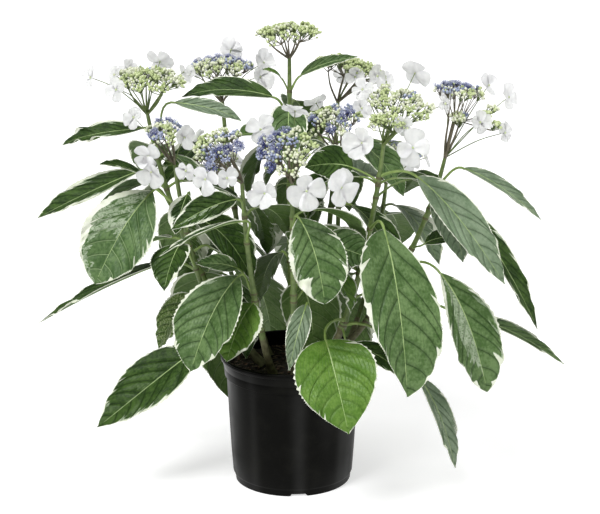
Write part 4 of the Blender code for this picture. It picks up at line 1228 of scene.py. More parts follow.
@dataclass
class Stem:
    """A stem from its foot to the hub of its flower head, with bark and swollen nodes."""

    path: Sequence
    woody_to: float             # share of the path where green bark begins
    foot_radius: float
    tip_radius: float
    nodes: Tuple[float, ...]
    chance: np.random.Generator
    flare: float = 1.0
    rings: int = 110
    sides: int = 12
    hub_radius: float = 0.0024
    node_swell: float = 0.34    # of the radius
    node_reach: float = 0.012   # of the path, as the next one
    scar_reach: float = 0.0046
    ridges: int = 3
    ridge_depth: float = 0.05   # of the radius, as the next one
    bark_depth: float = 0.02

    def add_to(self, sheaf: Sheaf) -> None:
        """Add the stem to its shoot's twigs.

        The radius tapers from foot to tip.  Each node swells it by a bell curve, and small
        waves round and along it give the bark its relief.

        Args:
            sheaf: The shoot's twigs.
        """
        share = np.linspace(0.0, 1.0, self.rings)
        radius = np.interp(share, (0, 0.05, STEM_END, SHOOT_END, 1.0),
                           (self.foot_radius * self.flare, self.foot_radius,
                            self.foot_radius * 0.80, self.tip_radius, self.hub_radius))
        swelling = np.zeros_like(share)
        scar = np.zeros(len(share) - 1, dtype=bool)
        for node in self.nodes:
            swelling += np.exp(-((share - node) / self.node_reach) ** 2)
            scar |= np.abs(share[:-1] + 0.5 / self.rings - node) < self.scar_reach
        radius = radius * (1 + self.node_swell * np.minimum(swelling, 1.0))
        points = curve(self.path, share)
        vertices, faces = tubes(points[None], radius[None], self.sides, (0.3, -0.95, 0.1))
        centre = np.repeat(points, self.sides, 0)
        turn = np.tile(np.arange(self.sides), self.rings) * 2 * math.pi / self.sides
        bark = 1 + self.ridge_depth * np.sin(self.ridges * turn
                                             + np.repeat(share * 9, self.sides))
        bark += self.chance.uniform(-self.bark_depth, self.bark_depth, len(bark))
        vertices = centre + (vertices - centre) * bark[:, None]
        kinds = np.where(share[:-1] < self.woody_to, WOODY, GREEN)
        kinds = np.where(scar, NODE, kinds)
        caps = len(faces) - len(kinds) * self.sides
        sheaf.add(vertices, faces, np.concatenate((np.repeat(kinds, self.sides),
                                                   np.full(caps, WOODY))))


# ------------ flower heads


@dataclass
class FlowerHead:
    """A lacecap: rays from a hub, clusters of buds and stars, and large white florets."""

    shoot: Shoot
    chance: np.random.Generator
    ray_kind: int = RAY_BROWN
    primaries: int = 6
    cluster_spacing: float = 0.0150
    cluster_reach: float = 0.0058
    bud_radius: float = 0.00220
    buds_each: int = 10         # in a cluster
    bud_rise: float = 0.0020    # of a cluster's middle bud
    bud_fall: float = 0.0026    # from there to the cluster's reach
    branch_depth: float = 0.0095
    ray_rings: int = 9
    ray_radii: Tuple[float, float] = (0.00155, 0.00085)
    branch_radii: Triple = (0.00075, 0.00062, 0.00052)
    bud_stalk_radii: Triple = (0.00042, 0.00036, 0.00034)
    floret_stalk_radii: Tuple[float, float] = (0.00085, 0.00055)
    petal_claw: float = 0.0004  # from a star's middle to where a petal starts
    petal_waist: float = 0.0022     # and to where it is broadest
    petal_half_width: float = 0.0012
    petal_tip: float = 0.0043
    petal_lift: float = 0.0004
    stamens: int = 9
    stamen_length: float = 0.0046
    star_eye_radius: float = 0.0011
    sepal_skin: float = 0.00035
    eye_radius: float = 0.0017
    eye_lift: float = 0.0014
    axis: Array = field(init=False)
    first: Array = field(init=False)
    second: Array = field(init=False)

    def __post_init__(self) -> None:
        """Set the head's axis and two vectors across it, the first level and towards +X."""
        run = np.subtract(self.shoot.dome, self.shoot.hub)
        self.axis = unit(run * (HEAD_LEAN, self.shoot.nod, 1.0))
        self.second = unit(np.cross(self.axis, (1.0, 0.0, 0.0)))
        self.first = np.cross(self.second, self.axis)

    def out(self, turns: Array) -> Array:
        """Directions across the axis at these angles, in radians."""
        turns = np.asarray(turns)[..., None]
        return self.first * np.cos(turns) + self.second * np.sin(turns)

    def clusters(self) -> Tuple[Array, Array, Array]:
        """Where the bud clusters stand: a sunflower spiral over the shallow dome.

        The shoot's strays, as turn, reach, drop and spread, are small groups beside it.

        Returns:
            Centres, outward axes and the feet of the clusters.
        """
        radius, dome = self.shoot.dome_radius, np.array(self.shoot.dome)
        count = max(12, int(round((radius / self.cluster_spacing) ** 2 * 4.0)))
        number = np.arange(count)
        rho = np.sqrt((number + 0.5) / count)
        turn = np.radians(GOLDEN_TURN) * number + self.chance.uniform(-0.16, 0.16, count)
        rho = rho * (1 + 0.07 * np.sin(3 * turn + 1.0)) * self.chance.uniform(0.93, 1.05, count)
        out = self.out(turn)
        height = DOME_RISE * radius * (1 - rho ** 2) + self.chance.uniform(-0.0022, 0.0022, count)
        centres = dome + out * (rho * radius * 0.97)[:, None] + self.axis * height[:, None]
        axes = unit(self.axis + out * (rho * 0.75)[:, None]
                    + self.chance.uniform(-0.15, 0.15, (count, 3)))
        for turn, reach, drop, spread in self.shoot.strays:
            few = 1 + int(round((spread / self.cluster_reach) ** 2 * 3.0))
            out = self.out(math.radians(turn))
            middle = dome + out * (reach * radius) - UP * drop
            centres = np.vstack((centres, middle + spread * unit(
                self.chance.normal(size=(few, 3))) * (1.0, 1.0, 0.5)))
            axes = np.vstack((axes, unit(self.axis + out * 0.5 + self.chance.uniform(
                -0.3, 0.3, (few, 3)))))
        hub = np.array(self.shoot.hub)
        feet = centres - axes * self.branch_depth * 0.7 \
            + unit(hub - centres) * self.branch_depth * 0.6
        return centres, axes, feet

    def kinds(self, count: int, centres: Array) -> Array:
        """Deal out what each cluster holds, in patches, by the head's bloom.

        Args:
            count: Number of clusters.
            centres: Where they stand.

        Returns:
            0 lime, 1 cream, 2 blue buds or 3 open stars, for each cluster.
        """
        shares = np.cumsum(self.shoot.bloom.value)
        toward, pull = unit(self.chance.normal(size=3)), 0.45
        if self.shoot.blue_side is not None:
            toward, pull = self.out(math.radians(self.shoot.blue_side)), 1.1
        lean = centres @ toward / self.shoot.dome_radius
        order = np.argsort(lean * pull + self.chance.random(count))
        rank = np.empty(count)
        rank[order] = (np.arange(count) + 0.5) / count
        return np.searchsorted(shares / shares[-1], rank)

    def add_rays(self, sheaf: Sheaf, feet: Array) -> None:
        """Add the main rays and the branches from their ends to the clusters.

        Args:
            sheaf: The shoot's twigs.
            feet: The clusters' feet.
        """
        hub, dome = np.array(self.shoot.hub), np.array(self.shoot.dome)
        radius = self.shoot.dome_radius
        tall = np.linalg.norm(dome - hub) > TALL_HEAD
        primaries = 4 if tall else self.primaries
        turns = np.arange(primaries) * 2 * math.pi / primaries \
            + self.chance.uniform(-0.2, 0.2, primaries)
        reach = np.where(np.arange(primaries) % 2, 0.62, 0.36) * radius
        reach = np.append(reach, 0.0)
        out = np.vstack((self.out(turns), self.axis * 0))
        tips = dome + out * reach[:, None] - self.axis * (self.branch_depth * 1.25)
        tips = hub + (tips - hub) * (0.66 if tall else 1.0)
        bend = hub + (tips - hub) * 0.5 + out * (reach * 0.16)[:, None]
        stations = np.linspace(0, 1, self.ray_rings)
        root = np.broadcast_to(hub - self.axis * 0.002, tips.shape)
        paths = np.stack([curve((a, b, b, d), stations)
                          for a, b, d in zip(root, bend, tips)])
        radii = np.linspace(*self.ray_radii, self.ray_rings) * (1.35 if tall else 1)
        vertices, faces = tubes(paths, radii, 6)
        sheaf.add(vertices, faces, self.ray_kind)
        nearest = np.argmin(np.linalg.norm(feet[:, None] - tips[None], axis=2), axis=1)
        start, finish = tips[nearest], feet
        middle = (start + finish) / 2 - self.axis * 0.0008
        paths = np.stack((start - self.axis * 0.001, middle, finish), axis=1)
        vertices, faces = tubes(paths, self.branch_radii, 5)
        sheaf.add(vertices, faces, self.ray_kind)

    def add_buds(self, buds: Sheaf, twigs: Sheaf) -> None:
        """Add every cluster's buds and stars, each on its own short stalk.

        Args:
            buds: The head's buds and stars.
            twigs: The shoot's twigs.
        """
        centres, axes, feet = self.clusters()
        self.add_rays(twigs, feet)
        kind = self.kinds(len(centres), centres)
        each = self.buds_each
        ring = np.arange(each)
        turn = ring * 2 * math.pi / 6.6 + self.chance.uniform(0, 6.28, len(centres))[:, None]
        spread = np.where(ring == each - 1, 0.0, np.where(ring > 5, 0.62, 1.05)) \
            * self.cluster_reach
        spread = spread * self.chance.uniform(0.72, 1.10, (len(centres), each))
        frames = frames_along(axes, np.zeros(len(centres)))
        aside = (frames[:, None, 0] * np.cos(turn)[..., None]
                 + frames[:, None, 1] * np.sin(turn)[..., None])
        lift = self.bud_rise - (spread / self.cluster_reach) ** 2 * self.bud_fall \
            + self.chance.uniform(-0.0022, 0.0014, spread.shape)
        places = centres[:, None] + aside * spread[..., None] + axes[:, None] * lift[..., None]
        starts = np.broadcast_to(feet[:, None], places.shape)
        middles = starts + (places - starts) * 0.55 + aside * 0.0006
        paths = np.stack((starts, middles, places), axis=2).reshape(-1, 3, 3)
        vertices, faces = tubes(paths, self.bud_stalk_radii, 3)
        stalks = np.where(np.repeat(kind, each) >= 2, RAY_BROWN, RAY_GREEN)
        twigs.add(vertices, faces, np.repeat(stalks, len(faces) // len(paths)))
        flat = places.reshape(-1, 3)
        poise = unit(places - starts).reshape(-1, 3)
        kinds = np.repeat(kind, each)
        mixed = self.chance.random(len(kinds))
        kinds = np.where((kinds == STAR) & (mixed < 0.20), BLUE_BUD, kinds)
        kinds = np.where((kinds == STAR) & (mixed > 0.82), CREAM_BUD, kinds)
        kinds = np.where((kinds == BLUE_BUD) & (mixed > 0.66), CREAM_BUD, kinds)
        kinds = np.where((kinds == CREAM_BUD) & (mixed % 0.1 > 0.075), LIME, kinds)
        turns = self.chance.uniform(0, 6.28, len(flat))
        sizes = self.bud_radius * self.chance.uniform(0.62, 1.10, len(flat))
        frames = frames_along(poise, turns)
        shape, sides = bead(6, 3, 1.15)
        for number in (LIME, CREAM_BUD, BLUE_BUD):
            chosen = kinds == number
            buds.add(*scatter(shape, sides, flat[chosen], frames[chosen], sizes[chosen]),
                     number)
        self.add_stars(buds, flat[kinds == STAR], frames[kinds == STAR])

    def add_stars(self, buds: Sheaf, places: Array, frames: Array) -> None:
        """Add open fertile flowers: five pointed petals and a tuft of stamens.

        Args:
            buds: The head's buds and stars.
            places: Where they stand.
            frames: Their axes.
        """
        if not len(places):
            return
        turn = np.arange(5) * 2 * math.pi / 5
        ways = np.stack((np.cos(turn), np.sin(turn), np.zeros(5)), -1)
        cross = np.stack((-np.sin(turn), np.cos(turn), np.zeros(5)), -1)
        waist, broad = ways * self.petal_waist, cross * self.petal_half_width
        lift = UP * self.petal_lift
        rim = np.stack((ways * self.petal_claw, waist + broad + lift,
                        ways * self.petal_tip - lift, waist - broad + lift), 1)
        crest = (waist + UP * 0.0010)[:, None]
        under = (waist + UP * 0.0001)[:, None]
        shape = np.concatenate((rim, crest, under), 1).reshape(-1, 3)
        one = np.array([(0, 3, 4, -1), (3, 2, 4, -1), (2, 1, 4, -1), (1, 0, 4, -1),
                        (3, 0, 5, -1), (2, 3, 5, -1), (1, 2, 5, -1), (0, 1, 5, -1)])
        faces = np.vstack([np.where(one < 0, -1, one + 6 * k) for k in range(5)])
        ones = np.ones(len(places))
        pale = self.chance.random(len(places)) < 0.27
        for kind, chosen in ((STAR, ~pale), (PALE_STAR, pale)):
            buds.add(*scatter(shape, faces, places[chosen], frames[chosen],
                              ones[chosen] * 1.05), kind)
        number = np.arange(self.stamens)
        spin = number * 2 * math.pi / self.stamens
        lean = np.where(number % 2, 0.85, 0.40)
        tips = np.stack((np.cos(spin) * lean, np.sin(spin) * lean, np.ones(self.stamens)), -1)
        tips = unit(tips) * self.stamen_length
        paths = np.stack((tips * 0.1, tips * 0.8, tips), axis=1)
        tuft, tuft_faces = tubes(paths, (0.00014, 0.00018, 0.00046), 3)
        buds.add(*scatter(tuft, tuft_faces, places, frames, ones), STAMEN)
        shape, faces = bead(5, 2, 0.9)
        buds.add(*scatter(shape * self.star_eye_radius, faces, places, frames, ones), BLUE_BUD)

    def add_florets(self, florets: Sheaf, twigs: Sheaf) -> None:
        """Add the large florets on their long stalks round the head.

        Args:
            florets: The head's florets.
            twigs: The shoot's twigs.
        """
        draw = random.Random(f"{SEED} head {self.shoot.name}")
        for _ in range(HEAD_DRAWS):
            draw.random()
        hub, dome = np.array(self.shoot.hub), np.array(self.shoot.dome)
        radius = self.shoot.dome_radius
        for turn, reach, drop, broad in self.shoot.florets:
            out = self.out(math.radians(turn))
            centre = dome + out * radius * reach - UP * drop
            ahead, behind = dome[1] < FRONT_HEADS, out[1] > FLORET_BEHIND
            lean = math.radians(FLORET_LEAN + FLORET_SAG * drop
                                + FLORET_UPRIGHT * (ahead and behind)
                                + draw.uniform(-12, 12))
            look = FLORET_LOOK * (1 + out[1]) * (ahead and not behind)
            facing = self.axis * math.cos(lean) + out * math.sin(lean) - (0.0, look, 0.0)
            width = broad * draw.uniform(0.92, 1.06)
            spin = draw.uniform(0, 90)
            bend = hub + (centre - hub) * 0.55 + self.axis * radius * 0.20
            path = curve((hub, bend, bend, centre), np.linspace(0, 1, 10))
            vertices, faces = tubes(path[None], np.linspace(*self.floret_stalk_radii, 10), 5)
            twigs.add(vertices, faces, RAY_GREEN)
            self.add_floret(florets, centre, unit(facing), width, math.radians(spin))

    def add_floret(self, florets: Sheaf, centre: Array, facing: Array, width: float,
                   spin: float) -> None:
        """Add one floret: four broad sepals that each tilt their own way, and a small eye.

        A sepal's half width at share u of its length is u^0.55 (1 - u^3.4)^0.5, so it has
        a narrow claw and a broad round end.  It cups, its rim waves, and a shallow crease
        runs down its middle.

        Args:
            florets: The head's florets.
            centre: Middle of the floret.
            facing: The way it faces.
            width: Its whole width.
            spin: Turn about its facing, in radians.
        """
        base = frames_along(facing[None], np.array([spin]))[0]
        u = np.linspace(0.015, 0.999, 12)[:, None]
        v = np.linspace(-1.0, 1.0, 11)[None, :]
        form = u ** 0.55 * np.sqrt(1 - u ** 3.4)
        gape = self.chance.uniform(0.05, 0.42)
        for number in range(4):
            angle = number * math.pi / 2 + self.chance.uniform(-0.20, 0.20)
            way = base[0] * math.cos(angle) + base[1] * math.sin(angle)
            cross = base[1] * math.cos(angle) - base[0] * math.sin(angle)
            length = width * 0.56 * self.chance.uniform(0.80, 1.08)
            half = form * length * self.chance.uniform(0.66, 0.84)
            tilt = gape + self.chance.uniform(-0.22, 0.26)
            curl = self.chance.uniform(-0.30, 0.12)
            phase = self.chance.uniform(0, 6.28, 3)
            bow = self.chance.uniform(0.02, 0.34)
            rise = (0.03 + tilt * u + curl * u ** 2.4 + bow * (v * form) ** 2
                    - 0.035 * np.exp(-(v / 0.16) ** 2) * form
                    + np.sin(v * 3.0 + phase[0]) * np.sin(u * 4.0 + phase[1]) * 0.075 * form
                    + np.sin(v * 7.0 + phase[2]) * 0.035 * u * form
                    + (0.045 if number % 2 else 0.0))
            reach = u * (1 + 0.050 * np.sin(v * 4.0 + phase[0]) * form) \
                / math.sqrt(1 + 0.6 * max(tilt, 0.0) ** 2)
            top = centre + way * (length * reach)[..., None] \
                + cross * (half * v)[..., None] + facing * (length * rise)[..., None]
            vertices, faces = shell(top, top - facing * self.sepal_skin)
            florets.add(vertices, faces, 0)
        shape, faces = bead(6, 3, 0.9)
        florets.add(*scatter(shape, faces, (centre + facing * self.eye_lift)[None],
                             base[None], np.array([self.eye_radius])), 1)


# ------------ the whole plant


@dataclass
class Plant:
    """Every shoot of the shrub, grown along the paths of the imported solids."""

    medium_top: float = 0.155
    gap: float = 0.0004
    stem_foot: float = 0.0054
    stem_flare: float = 1.35
    bough_foot: float = 0.0040
    shoot_tip: float = 0.0028
    stem_bark: float = 0.24     # share of the path that is woody
    bough_bark: float = 0.14
    chosen_rows: int = 84       # rows of a blade whose place is chosen
    ruled_rows: int = 54
    twig_crease: float = 60.0
    leaf_crease: float = 70.0
    paths: Dict[str, Sequence] = field(default_factory=dict)

    def __post_init__(self) -> None:
        """Lay every shoot's path."""
        for shoot in SHOOTS:
            if not shoot.bearer:
                foot = np.array((*shoot.foot, self.medium_top + self.gap))
                self.paths[shoot.name] = self.path(foot, shoot.hub)
        for shoot in SHOOTS:
            if shoot.bearer:
                self.paths[shoot.name] = self.side_path(shoot)

    @staticmethod
    def path(foot: Array, hub: Triple, leaving: Any = (0.0, 0.0, 0.0)) -> Sequence:
        """A shoot's path, which leaves its foot outwards and bends up towards its hub.

        Args:
            foot: The path's foot.
            hub: Where its flower head's rays start.
            leaving: How far the second control is moved.

        Returns:
            Four control points.
        """
        run = np.asarray(hub) - foot
        return (foot, foot + run * (0.50, 0.50, 0.25) + leaving,
                foot + run * (0.85, 0.85, 0.62), foot + run)

    def side_path(self, shoot: Shoot) -> Sequence:
        """A side bough's path, from the surface of the stem that bears it.

        Args:
            shoot: The side shoot.

        Returns:
            Four control points.
        """
        bearer = self.paths[shoot.bearer]
        joint, along = curve(bearer, FORK), slope(bearer, FORK)
        out = unit((np.array(shoot.hub) - joint) * (1, 1, 0))
        out = unit(out - along * out.dot(along))
        bough = np.array([v.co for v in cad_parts["side_bough_" + shoot.name]
                          .data.vertices])
        reach = float(((bough - joint) @ out).min())
        return self.path(joint + out * reach, shoot.hub, out * BOUGH_LEAVING)

    def leaves(self, shoot: Shoot) -> List[Tuple[LeafLine, Leaf]]:
        """The chosen leaves of a shoot, and those that the rule finds room for.

        The rule sets pairs of leaves at each node, each pair a quarter turn from the last.
        A leaf stands where the shoot's mass of solids has one.

        Args:
            shoot: The shoot.

        Returns:
            Each leaf's line and its tints.
        """
        path = self.paths[shoot.name]
        grown = [(LeafLine(curve(path, leaf.share), leaf.base, leaf.tip, leaf.width,
                           leaf.lift, leaf.roll), leaf) for leaf in shoot.leaves]
        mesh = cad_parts["foliage_" + shoot.name].data
        surface = BVHTree.FromPolygons([v.co for v in mesh.vertices],
                                       [tuple(p.vertices) for p in mesh.polygons])
        chance = random.Random(f"{SEED} leaves {shoot.name}")
        tint = random.Random(f"{SEED} tints {shoot.name}")
        for order, (share, length) in enumerate(zip(NODE_SHARES, NODE_LENGTHS)):
            node = curve(path, share)
            for side in (0, 180):
                turn = shoot.turn + 90 * order + side + chance.uniform(-14, 14)
                reach = length * chance.uniform(0.85, 1.08)
                fall = math.radians(chance.uniform(12, 42) + 8 * (len(NODE_SHARES) - order))
                roll = chance.uniform(-18, 18)
                width = chance.uniform(0.50, 0.66)
                for aside, shorter in TRIES:
                    way = heading(turn + aside)
                    base = node + way * PETIOLE_REACH + UP * PETIOLE_RISE
                    tip = base + reach * shorter * (way * math.cos(fall) - UP * math.sin(fall))
                    line = LeafLine(node, base, tip, width, RULED_LIFT, roll)
                    if line.lies_on(surface):
                        grown.append((line, self.tints(share, base, tip, tint)))
                        break
        return grown

    @staticmethod
    def tints(share: float, base: Array, tip: Array, tint: random.Random) -> Leaf:
        """A leaf's tints by chance: mostly a thin pale edge, sometimes a broad one.

        Args:
            share: The node's share of the path.
            base: Foot of the blade.
            tip: Tip of the blade.
            tint: Source of chance.

        Returns:
            The leaf with its tints.
        """
        tone = tint.choices((Tone.DARK, Tone.MID, Tone.GREY, Tone.BRIGHT), (40, 38, 12, 10))[0]
        edge = [tint.uniform(0.02, 0.06) for _ in range(2)]
        pale = [tint.uniform(0.01, 0.04) for _ in range(2)]
        if tint.random() < 0.30:
            broad = tint.randrange(2)
            edge[broad], pale[broad] = tint.uniform(0.10, 0.30), tint.uniform(0.05, 0.24)
        return Leaf(share, tuple(base), tuple(tip), tone=tone, edge=tuple(edge),
                    pale=tuple(pale))

    def build(self) -> None:
        """Build every shoot's stems, leaves, buds and florets as four objects."""
        for number, shoot in enumerate(SHOOTS):
            self.build_shoot(shoot, np.random.default_rng((SEED, number)))

    def build_shoot(self, shoot: Shoot, chance: np.random.Generator) -> None:
        """Build one shoot.

        Args:
            shoot: The shoot.
            chance: Its source of chance.
        """
        twigs, leaves, buds, florets = Sheaf(), Sheaf(), Sheaf(), Sheaf()
        grown = self.leaves(shoot)
        log.info("%s has %d leaves", shoot.name, len(grown))
        shares = tuple(sorted({round(leaf.share, 2) for _, leaf in grown}))
        bark, foot, flare = (self.bough_bark, self.bough_foot, 1.0) if shoot.bearer \
            else (self.stem_bark, self.stem_foot, self.stem_flare)
        Stem(self.paths[shoot.name], bark, foot, self.shoot_tip, shares, chance,
             flare).add_to(twigs)
        cells = self.cells(2 * len(grown))
        for order, (line, leaf) in enumerate(grown):
            chosen = order < len(shoot.leaves)
            blade = Blade(line, leaf, chance, self.chosen_rows if chosen else self.ruled_rows)
            blade.add_to(leaves, cells[2 * order:2 * order + 2])
            blade.add_stalk(twigs)
        head = FlowerHead(shoot, chance,
                          RAY_GREEN if shoot.bloom is Bloom.CREAM else RAY_BROWN)
        head.add_buds(buds, twigs)
        head.add_florets(florets, twigs)
        limbs = [name + shoot.name for name in ("main_stem_", "side_bough_")
                 if name + shoot.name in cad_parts]
        twigs.piece("twigs_" + shoot.name, TWIG_SKINS, "stem", limbs, self.twig_crease)
        leaves.piece("leaves_" + shoot.name, LEAF_SKINS, "foliage",
                     ["foliage_" + shoot.name], self.leaf_crease)
        buds.piece("buds_" + shoot.name, BUD_SKINS, "blossom", ["flower_head_" + shoot.name])
        florets.piece("florets_" + shoot.name, FLORET_SKINS, "blossom",
                      ["flower_head_" + shoot.name], self.leaf_crease)

    @staticmethod
    def cells(count: int) -> List[Tuple[float, float, float, float]]:
        """Equal upright cells that share out a square map.

        Args:
            count: Number of cells that are needed.

        Returns:
            Left, low, wide and tall of each.
        """
        across = math.ceil(math.sqrt(count / 0.60))
        rows = math.ceil(count / across)
        wide, tall = 1 / across, 1 / rows
        return [((k % across) * wide, (k // across) * tall, wide, tall) for k in range(count)]


# ------------ pot and growing medium


@dataclass
class Pot:
    """The round nursery pot: a thin tapered wall with a lip, a collar and a foot ring."""

    height: float = 0.174
    wall: float = 0.0016
    floor: float = 0.0024
    lip_radius: float = 0.095
    lip_depth: float = 0.0065
    collar_top: float = 0.0928
    collar_foot: float = 0.0894
    collar_depth: float = 0.029
    collar_step: float = 0.0024
    body_foot: float = 0.0796
    ring_radius: float = 0.0772
    ring_height: float = 0.0105
    arch_count: int = 4
    arch_turn: float = -84.0
    arch_height: float = 0.0055
    arch_width: float = 0.0225
    arch_top: float = 0.0160
    arch_run: float = 0.012
    around: int = 192
    disc_radius: float = 0.0005     # of the small discs that close the floor

    def outer(self) -> Array:
        """The outer profile, from the foot ring up to the lip's crest.

        Returns:
            Radius and height of each point.
        """
        ring, rise = self.ring_radius, self.ring_height
        body, collar, lip = self.body_foot, self.collar_foot, self.lip_radius
        top, low = self.height, self.height - self.lip_depth
        step, under = self.height - self.collar_depth, collar - self.collar_step
        return np.array((
            (ring - 0.0015, 0.0), (ring - 0.0005, 0.0004), (ring, 0.0014),
            (ring + 0.0003, rise - 0.0022), (body - 0.0012, rise - 0.0008),
            (body, rise + 0.0012), (body + 0.0024, 0.045), (body + 0.0052, 0.095),
            (under, step - 0.0016), (under, step - 0.0004),
            (collar - 0.0002, step + 0.0002), (collar + 0.0005, step + 0.0010),
            (collar + 0.0004, step + 0.0022), (collar + 0.0012, step + 0.0100),
            (collar + 0.0009, step + 0.0106), (collar + 0.0010, step + 0.0114),
            (collar + 0.0014, step + 0.0120), (self.collar_top, low - 0.0010),
            (lip - 0.0014, low - 0.0006), (lip - 0.0005, low), (lip, low + 0.0009),
            (lip + 0.0001, top - 0.0034), (lip - 0.0006, top - 0.0028),
            (lip - 0.0006, top - 0.0022), (lip, top - 0.0016),
            (lip - 0.0003, top - 0.0006), (lip - 0.0012, top)))

    def inner(self) -> Array:
        """The inner profile, from the lip's crest down to the middle of the floor.

        Returns:
            Radius and height of each point.
        """
        wall, ring, collar = self.wall, self.ring_radius, self.collar_foot
        top, step = self.height, self.height - self.collar_depth
        return np.array((
            (self.collar_top - wall + 0.0012, top), (self.collar_top - wall, top - 0.0008),
            (collar - wall, step + 0.0016), (collar - self.collar_step - wall, step),
            (self.body_foot - wall, self.ring_height + 0.0010),
            (ring - wall, self.floor + 0.0012), (ring - wall - 0.0012, self.floor),
            (self.disc_radius, self.floor)))

    def build(self) -> None:
        """Turn the profile round the axis, and lift the foot ring over each drain arch."""
        turns = np.arange(self.around) * 2 * math.pi / self.around
        nearest = np.radians(self.arch_turn) \
            + np.arange(self.arch_count) * 2 * math.pi / self.arch_count
        gap = (turns[:, None] - nearest + math.pi) % (2 * math.pi) - math.pi
        aside = np.abs(gap).min(1) * self.ring_radius
        slope_run = (self.arch_width - self.arch_top) / 2
        lift = self.arch_height * np.clip((self.arch_width / 2 - aside) / slope_run, 0, 1)
        inside = self.ring_radius - self.arch_run
        foot = np.array(((self.disc_radius, 0.0), (inside - 0.0001, 0.0), (inside, 0.0)))
        profile = np.vstack((foot, self.outer(), self.inner()))
        radius, height = profile[:, 0][:, None], profile[:, 1][:, None]
        ring_foot = (2, 3, 4, 5)
        raised = np.isin(np.arange(len(profile)), ring_foot)[:, None]
        height = np.where(raised, np.maximum(height, lift[None]), height + 0 * lift[None])
        points = np.stack((radius * np.cos(turns), radius * np.sin(turns), height), -1)
        faces = np.vstack((grid_faces(len(profile), self.around, wrap=True),
                           cap_faces(self.around)[:, (3, 2, 1, 0)],
                           cap_faces(self.around) + (len(profile) - 1) * self.around))
        pot = Sheaf()
        pot.add(points.reshape(-1, 3), faces, 0)
        pot.piece("nursery_pot", POT_SKINS, "pot", ["pot"], 40.0)


@dataclass
class Medium:
    """Moist peat with bark chips and fibres, just under the stems' feet."""

    top: float = 0.1545
    radius: float = 0.0885
    depth: float = 0.030
    rings: int = 34
    around: int = 96
    waves: int = 14
    chips: int = 420
    chip_radii: Tuple[float, float] = (0.0012, 0.0046)
    fibres: int = 90
    fibre_lengths: Tuple[float, float] = (0.004, 0.013)
    fibre_radii: Triple = (0.0004, 0.0005, 0.0003)

    def build(self) -> None:
        """Build the crumbly surface, its chips and its fibres as one object."""
        chance = np.random.default_rng((SEED, 99))
        rings, around, waves = self.rings, self.around, self.waves
        rho = np.linspace(0.01, 1.0, rings)[:, None]
        turn = (np.arange(around) * 2 * math.pi / around)[None]
        x, y = self.radius * rho * np.cos(turn), self.radius * rho * np.sin(turn)
        bumps = sum(np.sin(x * a + y * b + c) * h for a, b, c, h in zip(
            chance.uniform(-420, 420, waves), chance.uniform(-420, 420, waves),
            chance.uniform(0, 6.28, waves), chance.uniform(0.0003, 0.0008, waves)))
        z = self.top - 0.0012 + bumps + chance.uniform(-0.0008, 0.0008, bumps.shape) * rho
        surface = np.stack((x, y, z), -1)
        skirt = surface[-1:] * (0.915, 0.915, 0.0) + UP * (self.top - self.depth)
        grid = np.concatenate((surface, skirt))
        faces = np.vstack((grid_faces(rings + 1, around, wrap=True)[:, ::-1],
                           cap_faces(around),
                           (cap_faces(around) + rings * around)[:, ::-1]))
        medium = Sheaf()
        medium.add(grid.reshape(-1, 3), faces, 0)
        reach = self.radius * 0.97 * np.sqrt(chance.random(self.chips))
        angle = chance.uniform(0, 2 * math.pi, self.chips)
        places = np.stack((reach * np.cos(angle), reach * np.sin(angle),
                           self.top + chance.uniform(-0.0012, 0.0022, self.chips)), -1)
        shape, sides = bead(5, 2)
        shape = shape * (1.0, 0.62, 0.34)
        axes = unit(chance.normal(size=(self.chips, 3)) * (0.35, 0.35, 0.2) + UP)
        frames = frames_along(axes, chance.uniform(0, 6.28, self.chips))
        sizes = chance.uniform(*self.chip_radii, self.chips)
        brown = chance.random(self.chips) < 0.45
        for number, chosen in ((0, ~brown), (1, brown)):
            medium.add(*scatter(shape, sides, places[chosen], frames[chosen], sizes[chosen]),
                       number)
        reach = self.radius * 0.9 * np.sqrt(chance.random(self.fibres))
        angle = chance.uniform(0, 2 * math.pi, self.fibres)
        start = np.stack((reach * np.cos(angle), reach * np.sin(angle),
                          np.full(self.fibres, self.top + 0.0012)), -1)
        way = unit(chance.normal(size=(self.fibres, 3)) * (1, 1, 0.12))
        way = way * chance.uniform(*self.fibre_lengths, self.fibres)[:, None]
        way[:, 2] = np.abs(way[:, 2])
        inward = 1 - np.clip(np.linalg.norm((start + way)[:, :2], axis=1) / self.radius - 0.97,
                             0, 1)
        paths = np.stack((start, start + way * 0.5 + UP * 0.0006, start + way), 1)
        paths[..., :2] *= inward[:, None, None]
        vertices, sides = tubes(paths, self.fibre_radii, 4)
        medium.add(vertices, sides, 2)
        medium.piece("peat_and_bark", MEDIUM_SKINS, "growing_medium", ["growing_medium"], 45.0)


# ------------ studio


@dataclass(frozen=True)
class SoftLight:
    """A broad far light: the way that it shines from, its width in degrees and its power."""

    name: str
    place: Triple
    softness: float
    power: float


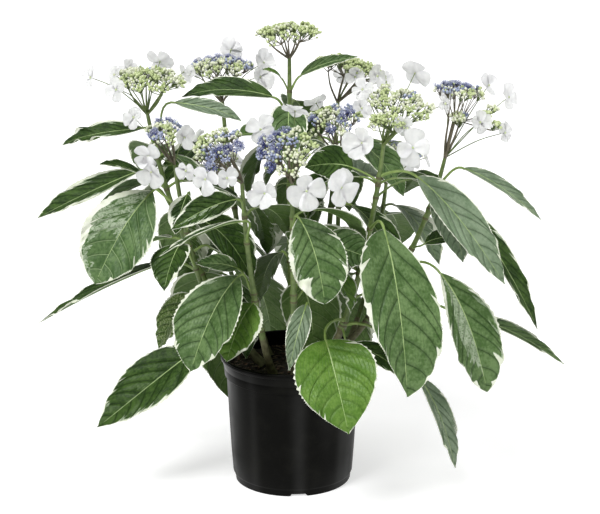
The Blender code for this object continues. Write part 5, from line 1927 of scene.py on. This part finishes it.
@dataclass
class Studio:
    """A white studio: pale floor and sky, three broad soft lights and a camera."""

    target: Triple = (0.0098, 0.0, 0.304)
    distance: float = 2.6
    elevation: float = 16.0
    lens: float = 119.8
    sensor: float = 36.0
    sky: float = 0.23
    lamps: Tuple[SoftLight, ...] = (
        SoftLight("key", (-0.8, -1.2, 1.9), 26.0, 3.0),
        SoftLight("fill", (1.6, -1.0, 0.9), 50.0, 0.6),
        SoftLight("back", (0.3, 0.9, 1.8), 40.0, 0.9))
    floor_reach: float = 30.0
    floor_tone: Triple = (0.62, 0.62, 0.62)
    floor_glow: float = 0.60

    def build(self) -> None:
        """Set the camera, the light and the floor."""
        scene = bpy.context.scene
        scene.view_settings.view_transform = "Standard"
        scene.view_settings.look = "None"
        self.camera(scene)
        self.lights(scene)
        self.floor()

    def camera(self, scene: bpy.types.Scene) -> None:
        """Aim the camera at the middle of the plant from a little above.

        Args:
            scene: The scene that it shoots.
        """
        data = bpy.data.cameras.new("camera")
        data.lens, data.sensor_width, data.sensor_fit = self.lens, self.sensor, "HORIZONTAL"
        camera = bpy.data.objects.new("camera", data)
        rise = math.radians(self.elevation)
        view = Vector((0.0, math.cos(rise), -math.sin(rise)))
        camera.location = Vector(self.target) - view * self.distance
        camera.rotation_euler = view.to_track_quat("-Z", "Y").to_euler()
        scene.collection.objects.link(camera)
        scene.camera = camera

    def lights(self, scene: bpy.types.Scene) -> None:
        """Shine broad soft lights on the plant from three sides, under a pale sky.

        Args:
            scene: The scene that they light.
        """
        world = bpy.data.worlds.new("white_studio")
        scene.world = world
        world.use_nodes = True
        sky = world.node_tree.nodes["Background"]
        sky.inputs["Color"].default_value = (1.0, 1.0, 1.0, 1.0)
        sky.inputs["Strength"].default_value = self.sky
        for light in self.lamps:
            data = bpy.data.lights.new(light.name, "SUN")
            data.angle, data.energy = math.radians(light.softness), light.power
            lamp = bpy.data.objects.new(light.name, data)
            lamp.location = light.place
            lamp.rotation_euler = (-Vector(light.place)).to_track_quat("-Z", "Y").to_euler()
            scene.collection.objects.link(lamp)

    def floor(self) -> None:
        """Lay the pale floor under the pot."""
        reach = self.floor_reach
        mesh = bpy.data.meshes.new("floor")
        mesh.from_pydata([(-reach, -reach, 0), (reach, -reach, 0), (reach, reach, 0),
                          (-reach, reach, 0)], [], [(0, 1, 2, 3)])
        shader = Shader("pale_floor", Base_Color=self.floor_tone, Roughness=0.85,
                        Specular_IOR_Level=0.1, Emission_Color=(1.0, 1.0, 1.0),
                        Emission_Strength=self.floor_glow)
        mesh.materials.append(shader.material)
        floor = bpy.data.objects.new("floor", mesh)
        bpy.context.scene.collection.objects.link(floor)


def corners(box: Any) -> List[List[float]]:
    """A box's two corners as plain lists."""
    return [[float(value) for value in corner] for corner in box]


def main() -> None:
    """Build the studio, the pot and the plant."""
    logging.basicConfig(level=logging.INFO, format="%(name)s: %(message)s")
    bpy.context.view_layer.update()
    Studio().build()
    Pot().build()
    Medium().build()
    Plant().build()


if __name__ == "__main__":
    main()
